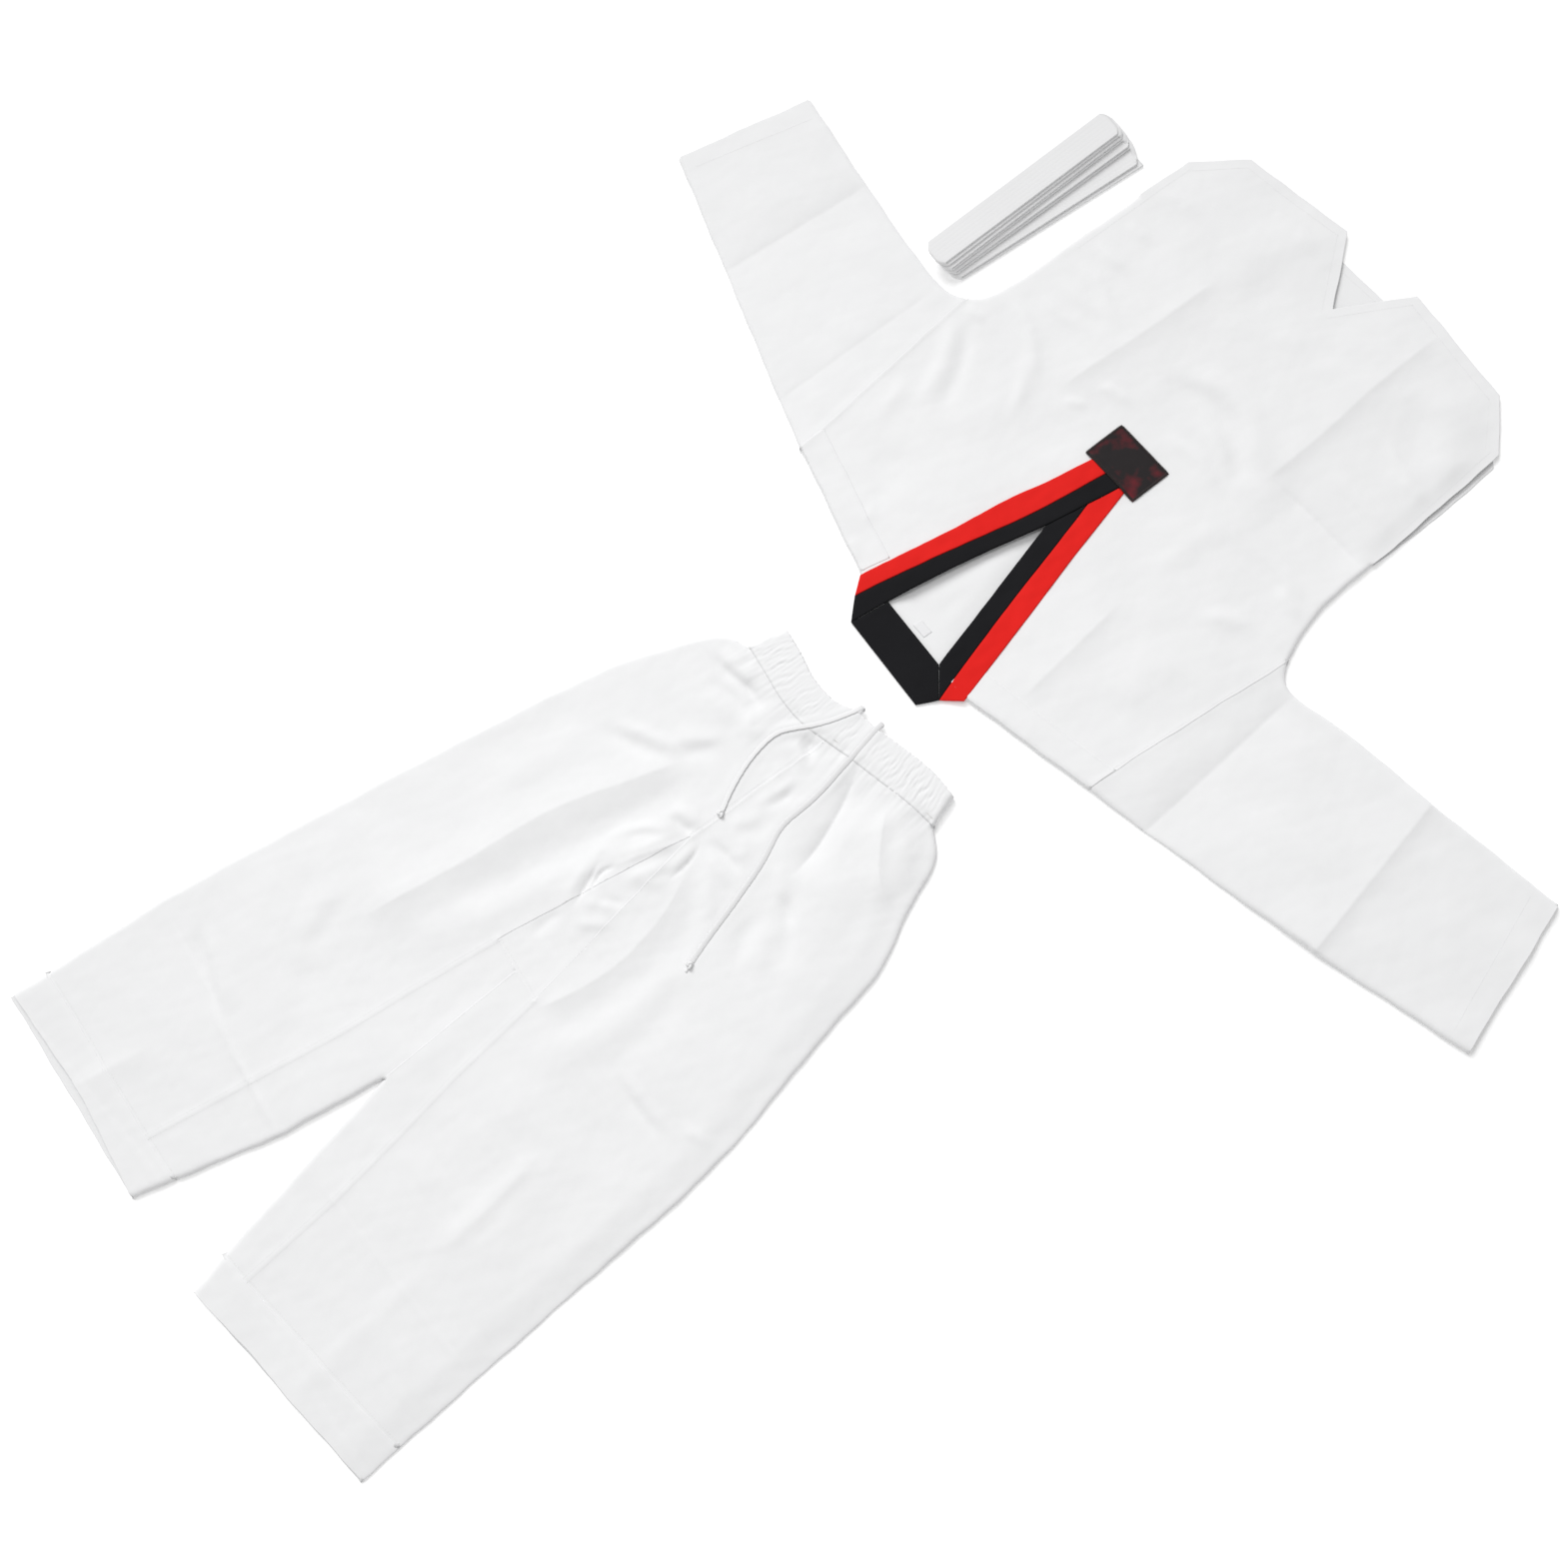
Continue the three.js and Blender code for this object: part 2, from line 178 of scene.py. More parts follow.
def makeCloth(name, look, angle=0.0):
    material = bpy.data.materials.new(name)
    material.use_nodes = True
    tree = material.node_tree
    shader = tree.nodes["Principled BSDF"]
    vector = tree.nodes.new("ShaderNodeTexCoord").outputs["Object"]
    weave = tree.nodes.new("ShaderNodeGroup")
    weave.node_tree = weaves[look["weave"]]
    tone = tree.nodes.new("ShaderNodeGroup")
    tone.node_tree = clothTone
    for node in (weave, tone):
        link(tree, vector, node.inputs["Vector"])
    weave.inputs["Pitch"].default_value = look["pitch"]
    weave.inputs["Turn"].default_value = angle
    tone.inputs["Cloud"].default_value = look.get("cloud", 9.0)
    tone.inputs["Slub"].default_value = look.get("slub", 600.0)
    cloud = tone.outputs["Cloud"]
    if "patchy" in look:
        spread = tree.nodes.new("ShaderNodeMapRange")
        spread.inputs["From Min"].default_value, spread.inputs["From Max"].default_value = look["patchy"]
        link(tree, cloud, spread.inputs["Value"])
        cloud = spread.outputs[0]
    colour = blendColour(tree, cloud, (*look["dark"], 1), (*look["light"], 1))
    # Painted shade: the colour is darkened towards 0.72 of the dark tone in the thread gaps
    shade = calc(tree, "MULTIPLY", weave.outputs["GapShade"], look.get("gap", 0.35))
    colour = blendColour(tree, shade, colour, tuple(0.72 * c for c in look["dark"]) + (1,))
    link(tree, colour, shader.inputs["Base Color"])
    rough = calc(tree, "ADD", calc(tree, "MULTIPLY", tone.outputs["Slub"], 0.12), look["rough"])
    link(tree, rough, shader.inputs["Roughness"])
    shader.inputs["Specular IOR Level"].default_value = look.get("specular", 0.25)
    shader.inputs["Sheen Weight"].default_value = look.get("sheen", 0.15)
    shader.inputs["Sheen Roughness"].default_value = 0.5
    bump = tree.nodes.new("ShaderNodeBump")
    bump.inputs["Strength"].default_value = look.get("strength", 0.5)
    bump.inputs["Distance"].default_value = look.get("depth", 0.0001)
    height = calc(tree, "ADD", weave.outputs["Height"], calc(tree, "MULTIPLY", tone.outputs["Slub"], 0.6))
    link(tree, height, bump.inputs["Height"])
    link(tree, bump.outputs[0], shader.inputs["Normal"])
    return material


# Each look's gap value sets the strength of the painted shade in the thread gaps
looks = {
    "white": {"weave": "plain", "pitch": 0.0006, "dark": (0.806, 0.808, 0.813),
              "light": (0.826, 0.827, 0.832), "rough": 0.82, "gap": 0.16},
    "red": {"weave": "twill", "pitch": 0.0009, "dark": (0.69, 0.012, 0.01), "light": (0.78, 0.019, 0.015),
            "rough": 0.75, "gap": 0.25, "sheen": 0.0, "specular": 0.12},
    "black": {"weave": "twill", "pitch": 0.0009, "dark": (0.008, 0.008, 0.009),
              "light": (0.014, 0.014, 0.016), "rough": 0.8, "sheen": 0.0, "specular": 0.1},
    "tape": {"weave": "twill", "pitch": 0.0005, "dark": (0.76, 0.76, 0.77), "light": (0.84, 0.84, 0.85),
             "rough": 0.55, "gap": 0.2},
    "elastic": {"weave": "plain", "pitch": 0.0011, "dark": (0.72, 0.71, 0.69), "light": (0.8, 0.79, 0.77),
                "rough": 0.75, "gap": 0.4},
    "cord": {"weave": "twill", "pitch": 0.0013, "dark": (0.78, 0.78, 0.785), "light": (0.84, 0.84, 0.845),
             "rough": 0.75, "gap": 0.35, "depth": 0.0003},
    "webbing": {"weave": "plain", "pitch": 0.0011, "dark": (0.765, 0.765, 0.77),
                "light": (0.815, 0.815, 0.82), "rough": 0.78, "gap": 0.3, "depth": 0.0002},
    "thread": {"weave": "twill", "pitch": 0.0004, "dark": (0.78, 0.78, 0.785), "light": (0.84, 0.84, 0.845),
               "rough": 0.6, "gap": 0.2, "slub": 1500.0},
    "patch": {"weave": "twill", "pitch": 0.0007, "dark": (0.016, 0.013, 0.014), "light": (0.16, 0.012, 0.02),
              "rough": 0.6, "cloud": 34.0, "patchy": (0.5, 0.72), "specular": 0.15, "slub": 900.0,
              "sheen": 0.05},
    "patchThread": {"weave": "twill", "pitch": 0.0004, "dark": (0.014, 0.012, 0.012),
                    "light": (0.03, 0.018, 0.018), "rough": 0.5, "slub": 1500.0},
}
cloths = {name: makeCloth(name, look) for name, look in looks.items()}
grainTurns = {"whiteLeftSleeve": 0.29, "whiteRightSleeve": -0.22, "whiteLeg": 0.08}  # radians
for name, turn in grainTurns.items():
    cloths[name] = makeCloth(name, looks["white"], turn)
print("finishes made")


# Plan geometry, in millimetres
def smoothLine(points, step=2.0):
    points = np.array(points, float)
    if len(points) < 3:
        return points
    padded = np.vstack((2 * points[0] - points[1], points, 2 * points[-1] - points[-2]))
    out = []
    for p0, p1, p2, p3 in zip(padded, padded[1:], padded[2:], padded[3:]):
        t0 = 0.0
        t1 = t0 + max(np.linalg.norm(p1 - p0), 1e-6) ** 0.5
        t2 = t1 + max(np.linalg.norm(p2 - p1), 1e-6) ** 0.5
        t3 = t2 + max(np.linalg.norm(p3 - p2), 1e-6) ** 0.5
        t = np.linspace(t1, t2, max(2, int(np.linalg.norm(p2 - p1) / step) + 1))[:-1, None]
        a1 = (t1 - t) / (t1 - t0) * p0 + (t - t0) / (t1 - t0) * p1
        a2 = (t2 - t) / (t2 - t1) * p1 + (t - t1) / (t2 - t1) * p2
        a3 = (t3 - t) / (t3 - t2) * p2 + (t - t2) / (t3 - t2) * p3
        b1 = (t2 - t) / (t2 - t0) * a1 + (t - t0) / (t2 - t0) * a2
        b2 = (t3 - t) / (t3 - t1) * a2 + (t - t1) / (t3 - t1) * a3
        out.append((t2 - t) / (t2 - t1) * b1 + (t - t1) / (t2 - t1) * b2)
    return np.vstack(out + [points[-1:]])


def along(line, step, count=None):
    line = np.array(line, float)
    lengths = np.concatenate(([0], np.cumsum(np.linalg.norm(np.diff(line, axis=0), axis=1))))
    count = count or max(1, int(round(lengths[-1] / step)))
    places = np.linspace(0, lengths[-1], count + 1)
    return np.column_stack([np.interp(places, lengths, line[:, k]) for k in range(line.shape[1])])


def distanceTo(points, line):
    points, line = np.asarray(points, float)[:, :2], np.asarray(line, float)[:, :2]
    best = np.full(len(points), 1e9)
    side, place = np.zeros(len(points)), np.zeros(len(points))
    done = 0.0
    for a, b in zip(line, line[1:]):
        way = b - a
        length = max(np.hypot(*way), 1e-9)
        rel = points - a
        t = np.clip((rel @ way) / length ** 2, 0, 1)
        gap = rel - t[:, None] * way
        d = np.hypot(gap[:, 0], gap[:, 1])
        nearer = d < best
        best[nearer] = d[nearer]
        side[nearer] = np.sign(way[0] * rel[nearer, 1] - way[1] * rel[nearer, 0])
        place[nearer] = done + t[nearer] * length
        done += length
    return best, side, place, done


def smoothstep(t):
    t = np.clip(t, 0, 1)
    return t * t * (3 - 2 * t)


def wobble(points):
    x, y = points[:, 0], points[:, 1]
    dx = 0.55 * np.sin(y / 17 + x / 61) + 0.3 * np.sin(y / 6.3 + 1.7)
    dy = 0.5 * np.sin(x / 19 - y / 70 + 0.6) + 0.3 * np.sin(x / 7.1)
    return points + 0.8 * np.column_stack((dx, dy))


def inside(points, loop):
    x, y = points[:, 0], points[:, 1]
    found = np.zeros(len(points), bool)
    for (x0, y0), (x1, y1) in zip(loop, np.roll(loop, -1, axis=0)):
        if y0 == y1:
            continue
        crosses = (y0 > y) != (y1 > y)
        found ^= crosses & (x < (x1 - x0) * (y - y0) / (y1 - y0) + x0)
    return found


# Rows of points beside an edge of each kind, by their distance from it
ringsFor = {"fold": (0.5, 1.6, 3.4, 6.2), "seam": (1.0, 2.4), "free": (0.8, 2.4), "rim": (0.6, 1.6),
            "tuck": (1.0, 3.2)}
tuck = {"width": 2.5, "drop": 0.15}  # how far a seam allowance runs under its neighbour


# A triangulated plan inside a loop of (kind, line) edges
def planMesh(edges, step, guides=(), fineZones=(), steady=False, within=None):
    loop, kinds = [], []
    for kind, line in edges:
        part = along(line, step)
        loop.append(part[:-1])
        kinds += [kind] * (len(part) - 1)
    loop = np.vstack(loop)
    if not steady:
        loop = wobble(loop)
    area = 0.5 * np.sum(loop[:, 0] * np.roll(loop[:, 1], -1) - np.roll(loop[:, 0], -1) * loop[:, 1])
    if area < 0:
        loop, kinds = loop[::-1], (kinds[:-1][::-1] + kinds[-1:])
    tangent = np.roll(loop, -1, axis=0) - np.roll(loop, 1, axis=0)
    tangent /= np.maximum(np.linalg.norm(tangent, axis=1), 1e-9)[:, None]
    normal = np.column_stack((-tangent[:, 1], tangent[:, 0]))
    loop = loop - np.array([tuck["width"] if kind == "tuck" else 0 for kind in kinds])[:, None] * normal
    closed = np.vstack((loop, loop[:1]))
    extra = []
    for i, kind in enumerate(kinds):
        for d in ringsFor[kind]:
            extra.append((*(loop[i] + d * normal[i]), d))
    extra = np.array(extra)
    gap = distanceTo(extra[:, :2], closed)[0]
    keep = inside(extra[:, :2], loop) & (gap > 0.86 * extra[:, 2])
    fixed = [extra[keep, :2]]
    for line, offsets in guides:
        line = along(line, step * 0.8)
        way = np.gradient(line, axis=0)
        way /= np.linalg.norm(way, axis=1)[:, None]
        for d in offsets:
            fixed.append(line + d * np.column_stack((-way[:, 1], way[:, 0])))
    fixed = np.vstack(fixed)
    if len(fixed) > keep.sum():
        late = fixed[keep.sum():]
        good = inside(late, loop) & (distanceTo(late, closed)[0] > 1.4)
        fixed = np.vstack((fixed[:keep.sum()], late[good]))
    low, high = loop.min(axis=0), loop.max(axis=0)

    def grid(x0, x1, y0, y1, size):
        rows = []
        for i, y in enumerate(np.arange(y0, y1, size * 0.9)):
            xs = np.arange(x0 + (i % 2) * size / 2, x1, size)
            rows.append(np.column_stack((xs, np.full(len(xs), y))))
        return np.vstack(rows)
    within = within or step
    body = grid(low[0], high[0], low[1], high[1], within)
    sizes = np.full(len(body), within)
    for x0, x1, y0, y1, size in fineZones:
        out = ~((body[:, 0] > x0) & (body[:, 0] < x1) & (body[:, 1] > y0) & (body[:, 1] < y1))
        fine = grid(x0, x1, y0, y1, size)
        body = np.vstack((body[out], fine))
        sizes = np.concatenate((sizes[out], np.full(len(fine), size)))
    keep = inside(body, loop)
    body, sizes = body[keep], sizes[keep]
    fixed = np.vstack((loop, fixed))
    tree = KDTree(len(fixed))
    for i, (x, y) in enumerate(fixed):
        tree.insert((x, y, 0), i)
    tree.balance()
    keep = [tree.find((x, y, 0))[2] > 0.62 * s for (x, y), s in zip(body, sizes)]
    points = np.vstack((fixed, body[keep]))
    flat = [Vector(p) for p in points]
    made = delaunay_2d_cdt(flat, [], [list(range(len(loop)))], 1, 1e-4, False)
    points = np.array([tuple(v) for v in made[0]])
    triangles = np.array(made[2])
    middles = points[triangles].mean(axis=1)
    return points, [tuple(t) for t in triangles[inside(middles, loop)]], abs(area)


# A set of folds: height, reach to the left and to the right of the line, and the line itself
def folded(points, folds, crisp=False):
    total = np.zeros(len(points))
    for height, left, right, line in folds:
        line = smoothLine(line, 6)
        d, side, place, length = distanceTo(points, line)
        reach = np.where(side > 0, left, right)
        taper = smoothstep(np.minimum(place, length - place) / min(0.4 * length, 45))
        shape = np.exp(-d / reach) if crisp else np.exp(-(d / reach) ** 2)
        total += height * shape * taper
    return total


def makeRipples(seed, waves, shortest, longest):
    rng = np.random.default_rng(seed)
    sizes = np.exp(rng.uniform(math.log(shortest), math.log(longest), waves))
    angles, phases = rng.uniform(0, math.pi, waves), rng.uniform(0, 2 * math.pi, waves)
    weights = sizes / sizes.max()

    def ripple(points):
        x, y = points[:, 0], points[:, 1]
        total = np.zeros(len(points))
        for size, angle, phase, weight in zip(sizes, angles, phases, weights):
            bend = 0.35 * size * np.sin((x * math.sin(angle) - y * math.cos(angle)) / (1.7 * size) + phase)
            total += weight * np.sin(2 * math.pi * (x * math.cos(angle) + y * math.sin(angle) + bend)
                                     / size + phase)
        return total / math.sqrt(waves * 0.5) / np.sqrt(np.mean(weights ** 2))
    return ripple


def meshObject(name, vertices, faces, material):
    mesh = bpy.data.meshes.new(name)
    mesh.from_pydata([tuple(v) for v in vertices], [], [tuple(f) for f in faces])
    mesh.polygons.foreach_set("use_smooth", [True] * len(mesh.polygons))
    mesh.materials.append(material)
    piece = bpy.data.objects.new(name, mesh)
    scene.collection.objects.link(piece)
    return piece


def facingOut(piece):
    work = bmesh.new()
    work.from_mesh(piece.data)
    bmesh.ops.recalc_face_normals(work, faces=work.faces)
    work.to_mesh(piece.data)
    work.free()
    return piece


def merged(piece, distance=0.00002):
    work = bmesh.new()
    work.from_mesh(piece.data)
    bmesh.ops.remove_doubles(work, verts=work.verts, dist=distance)
    bmesh.ops.dissolve_degenerate(work, edges=work.edges, dist=1e-7)
    work.to_mesh(piece.data)
    work.free()
    return piece


def applied(piece):
    made = piece.evaluated_get(bpy.context.evaluated_depsgraph_get())
    mesh = bpy.data.meshes.new_from_object(made)
    piece.modifiers.clear()
    old = piece.data
    piece.data = mesh
    bpy.data.meshes.remove(old)
    mesh.name = piece.name
    return piece


def thickened(piece, millimetres):
    wall = piece.modifiers.new("cloth", "SOLIDIFY")
    wall.thickness = millimetres / 1000
    wall.offset = -1
    return applied(piece)


# Drawstring, before everything it lies on
leftRoute = [
    (36, -115, 7), (36, -110, 6.6), (36, -106, 5.4), (36, -102, 4.4), (36, -98.6, 5.6), (35.8, -97.5, 9.4),
    (35.4, -99.3, 13.6), (34.8, -103.5, 15.5), (33.6, -110, 15.7), (30, -122, 15.3), (25, -137, 15),
    (17, -155, 14.9), (6, -174, 14.2), (-2, -190, 13.6), (-4, -204, 13.3), (-2, -222, 13.2), (3, -243, 13.1),
    (11, -264, 13.1), (20, -283, 13), (30, -300, 12.9)]
rightRoute = [
    (65, -110, 7), (65, -105, 6.6), (65, -101, 5.4), (65, -97, 4.4), (65, -93.6, 5.6), (65.2, -92.5, 9.4),
    (65.6, -94.3, 13.6), (66.3, -98.5, 15.5), (67.5, -105, 15.7), (70, -118, 15.2), (73, -134, 15),
    (76, -150, 14.8), (79, -168, 14), (83, -188, 13.5), (86, -210, 13.3), (87, -230, 13.2),
    (87.5, -248, 13.1),
    (91, -264, 13), (99, -281, 12.9), (107, -298, 12.9), (114, -317, 12.8), (120, -336, 12.7),
    (126, -355, 12.6), (132, -376, 12.5), (138, -397, 12.4), (144, -416, 12.3), (149, -431, 12.2)]
drawstring = {
    "width": 6, "thickness": 1.5, "sides": 18, "spacing": 1.5, "plait": 5.0, "settle": 1.4,
    "knotReach": 3.1, "knotCord": 1.7, "knotAhead": 4.1, "knotRaised": 1.6,
    # Its bed in the cloth
    "bedFrom": 10.9, "overBand": 13.8, "bedDepth": 1.05, "bedRise": 0.3, "bedHalf": 2.6,
    "bedReach": (4.5, 9.0),
}


def tubeAlong(name, path, profile, material):
    path = np.array(path, float)
    way = np.gradient(path, axis=0)
    way /= np.linalg.norm(way, axis=1)[:, None]
    side = np.array([1.0, 0.0, 0.0])
    rings = []
    for i, (point, forward) in enumerate(zip(path, way)):
        side = side - forward * (side @ forward)
        side /= np.linalg.norm(side)
        up = np.cross(side, forward) * -1
        rings.append([point + a * side + b * up for a, b in profile(i)])
    sides = len(rings[0])
    vertices = [v for ring in rings for v in ring]
    faces = []
    for i in range(len(rings) - 1):
        for j in range(sides):
            a, b = i * sides + j, i * sides + (j + 1) % sides
            faces.append((a, b, b + sides, a + sides))
    ends = ((0, path[0] - 0.4 * way[0], True), (len(rings) - 1, path[-1] + 0.4 * way[-1], False))
    for ring, middle, flip in ends:
        centre = len(vertices)
        vertices.append(middle)
        for j in range(sides):
            a, b = ring * sides + j, ring * sides + (j + 1) % sides
            faces.append((b, a, centre) if flip else (a, b, centre))
    return facingOut(meshObject(name, [inFrame(*v) for v in vertices], faces, material))


def makeDrawstring(side, route, tail):
    path = smoothLine(route, 1.0)
    for _ in range(4):
        path[1:-1] = 0.25 * path[:-2] + 0.5 * path[1:-1] + 0.25 * path[2:]
    path[:, 2] -= drawstring["settle"] * np.clip((path[:, 2] - 9) / 4, 0, 1)
    path = along(path, drawstring["spacing"])
    halfWidth, halfThick = drawstring["width"] / 2, drawstring["thickness"] / 2
    angles = np.linspace(0, 2 * math.pi, drawstring["sides"], endpoint=False)

    def profile(i):
        turns = i * drawstring["spacing"] / drawstring["plait"]
        plait = 1 + 0.05 * np.sin(2 * math.pi * turns + 2 * angles)
        across = halfWidth * np.cos(angles) * (1 + 0.04 * math.sin(i * 0.9))
        high = halfThick * np.sign(np.sin(angles)) * np.abs(np.sin(angles)) ** 1.2
        return np.column_stack((across, high)) * plait[:, None]
    cord = tubeAlong(f"drawstring{side}", path, profile, cloths["cord"])
    forward = path[-1] - path[-2]
    forward /= np.linalg.norm(forward)
    angle = math.atan2(forward[1], forward[0])
    centre = path[-1] + forward * drawstring["knotAhead"]
    turns = np.linspace(0, 2 * math.pi, 97)[:-1]
    reach, thick = drawstring["knotReach"], drawstring["knotCord"]
    shape = np.column_stack(((np.sin(turns) + 2 * np.sin(2 * turns)) * reach / 2.6,
                             (np.cos(turns) - 2 * np.cos(2 * turns)) * reach / 2.6,
                             -np.sin(3 * turns) * 1.2))
    turn = np.array([[math.cos(angle), -math.sin(angle), 0], [math.sin(angle), math.cos(angle), 0],
                     [0, 0, 1]])
    loop = shape @ turn.T + centre + np.array([0, 0, drawstring["knotRaised"]])
    tailEnd = (centre + np.outer(np.linspace(1.5, 1.5 + tail, 8), forward)
               + np.outer(np.linspace(0, 1, 8), (0.6, 0.8, -0.4)))
    ring = [(thick * math.cos(a), 0.78 * thick * math.sin(a)) for a in np.linspace(0, 2 * math.pi, 11)[:-1]]
    knot = joined(f"drawstring{side}Knot", [
        tubeAlong(f"knot{side}{i}", part, lambda _: ring, cloths["cord"])
        for i, part in enumerate((np.vstack((loop, loop[:2])), tailEnd))])
    node = side.lower()
    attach(cord, "trousers")
    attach(knot, "trousers")
    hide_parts(f"drawstring_{node}")
    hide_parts(f"drawstring_{node}_knot")
    return path


def joined(name, pieces):
    vertices, faces, materials, slots = [], [], [], []
    for piece in pieces:
        base = len(vertices)
        vertices += [v.co.copy() for v in piece.data.vertices]
        faces += [[base + i for i in p.vertices] for p in piece.data.polygons]
        for material in piece.data.materials:
            if material not in materials:
                materials.append(material)
        slots += [materials.index(piece.data.materials[p.material_index]) for p in piece.data.polygons]
        bpy.data.objects.remove(piece)
    whole = meshObject(name, vertices, faces, materials[0])
    for material in materials[1:]:
        whole.data.materials.append(material)
    whole.data.polygons.foreach_set("material_index", slots)
    return whole


cordPaths = [makeDrawstring("Left", leftRoute, 3.0), makeDrawstring("Right", rightRoute, 8.0)]
print("drawstring laid")

# Jacket
leftShoulder = [(-100, 2), (-276, 46)]
rightShoulder = [(100, -2), (271, 37)]
leftArmhole = [(-276, 46), (-283, 120), (-291, 200), (-303, 325)]
rightArmhole = [(271, 37), (278, 120), (286, 200), (297, 302)]
leftSide = [(-303, 325), (-288, 343), (-280, 372), (-277, 404), (-276, 448)]
rightSide = [(297, 302), (284, 334), (273, 375), (270, 448)]
leftVent = [(-276, 448), (-270, 570)]
frontNeck = [(-60, 3), (-37, 120), (-13, 205), (-6, 226), (1, 205), (28, 120), (56, 1)]
leftFrontVent = [(-270, 570), (-267, 646)]
rightFrontVent = [(268, 500), (260, 646)]
frontHem = [(-267, 646), (-218, 704), (-66, 719), (0, 636), (51, 719), (206, 697), (260, 646)]
backHem = [(-262, 642), (-214, 688), (204, 690), (267, 632)]

jacket = {
    "step": 4.0, "backStep": 7.0, "high": 7.8, "cloth": 0.85, "foldRadius": 5.4,
    "hemDrop": 2.6, "hemReach": 70, "ripple": 0.42, "edgeLow": 5.4, "edgeReach": 26, "lean": (4.0, -3.6),
    "seamHigh": 0.75, "seamReach": 4.5, "neckRise": 3.4, "neckReach": 30, "middle": 2.5,
}
# Soft folds of the jacket front: height, reach left, reach right, line
jacketFolds = [
    (2.2, 34, 26, [(-104, 545), (-104, 640), (-112, 712)]),
    (-1.6, 22, 22, [(-76, 560), (-76, 640), (-84, 705)]),
    (1.3, 16, 12, [(120, 380), (117, 320), (118, 250)]),
    (-3.0, 13, 22, [(-66, 426), (-22, 448), (30, 450), (70, 430), (106, 404)]),
    (2.4, 16, 13, [(-58, 450), (0, 478), (34, 476), (72, 456), (106, 432)]),
    (1.9, 9, 9, [(0, 434), (50, 422), (92, 400)]),
    (1.9, 8, 9, [(-14, 386), (40, 394), (94, 384)]),
    (2.0, 7, 8, [(-112, 366), (-84, 380), (-55, 382)]),
    (1.7, 6, 6, [(-122, 326), (-92, 344)]),
    (2.3, 9, 9, [(-278, 372), (-222, 358), (-182, 332), (-150, 305)]),
    (2.6, 12, 11, [(-300, 306), (-262, 262), (-240, 222), (-224, 186)]),
    (-2.0, 10, 10, [(-290, 320), (-246, 276), (-220, 236), (-202, 200)]),
    (1.9, 7, 7, [(-300, 326), (-280, 322), (-262, 330)]),
    (1.9, 9, 9, [(-204, 334), (-164, 300), (-140, 256)]),
    (1.7, 10, 10, [(-272, 215), (-255, 170), (-250, 140)]),
    (1.6, 7, 7, [(-262, 495), (-230, 492), (-196, 497)]),
    (1.6, 8, 8, [(-258, 458), (-220, 462), (-175, 446), (-140, 440)]),
    (1.4, 7, 7, [(-260, 540), (-232, 540), (-208, 546)]),
    (1.5, 8, 9, [(-262, 432), (-215, 428), (-165, 436)]),
    (1.4, 8, 8, [(-262, 402), (-215, 398), (-160, 410)]),
    (1.2, 8, 8, [(-260, 600), (-230, 606), (-200, 600)]),
    (1.5, 8, 8, [(150, 500), (205, 495), (256, 494)]),
    (1.3, 8, 8, [(200, 545), (225, 548), (256, 545)]),
    (1.2, 8, 8, [(150, 575), (190, 560), (235, 556)]),
    (1.7, 8, 8, [(215, 360), (240, 352), (268, 352)]),
    (1.8, 10, 10, [(184, 262), (212, 288), (242, 308)]),
    (1.5, 9, 9, [(150, 368), (210, 372), (262, 366)]),
    (3.0, 32, 30, [(140, 660), (186, 640), (226, 602), (244, 560)]),
    (-2.0, 26, 26, [(130, 632), (165, 616), (202, 584), (222, 552)]),
    (1.7, 26, 26, [(-40, 690), (-70, 640), (-100, 610)]),
    (1.3, 10, 10, [(-112, 672), (-90, 676), (-66, 664)]),
    (-1.3, 16, 16, [(12, 640), (36, 600), (44, 565)]),
    (1.1, 13, 13, [(-30, 560), (-5, 572), (20, 590)]),
    (1.2, 16, 16, [(70, 560), (40, 600), (20, 640)]),
    (-1.3, 10, 10, [(-180, 95), (-162, 76), (-150, 58)]),
    (1.2, 8, 8, [(-172, 84), (-158, 66), (-150, 44)]),
    (1.3, 9, 9, [(-146, 32), (-132, 16), (-116, 4)]),
    (-1.2, 30, 30, [(-80, 250), (-100, 300), (-110, 330)]),
    (1.0, 22, 22, [(70, 250), (90, 300), (96, 350)]),
    (-1.0, 24, 24, [(-215, 130), (-180, 120), (-150, 90)]),
    (1.1, 20, 20, [(-190, 200), (-165, 240), (-150, 280)]),
    (0.9, 26, 26, [(200, 120), (205, 180), (215, 240)]),
    (-0.9, 22, 22, [(240, 110), (245, 170), (250, 230)]),
]
jacketCreases = [  # pressed lines: steep on one side, long on the other
    (4.0, 60, 18, [(-136, 322), (-130, 400), (-124, 480), (-121, 576)]),
    (3.2, 50, 13, [(112, 424), (110, 520), (104, 600), (102, 712)]),
    (2.8, 36, 12, [(140, 38), (130, 130), (119, 220)]),
    (-3.8, 8, 50, [(116, 440), (160, 444), (210, 444), (270, 442)]),
]
sleeveCreases = [  # where the sleeves were folded flat
    (-4.4, 20, 60, [(345, 20), (336, 150), (324, 300)]),
    (3.6, 60, 11, [(560, 74), (532, 205), (503, 340)]),
    (-1.1, 6, 18, [(-350, 50), (-346, 180), (-340, 316)]),
    (-3.4, 18, 70, [(-544, 102), (-530, 230), (-516, 356)]),
]
jacketRipple = makeRipples(11, 16, 45, 190)
fineRipple = makeRipples(12, 12, 14, 38)
crispRipple = makeRipples(13, 10, 6, 14)


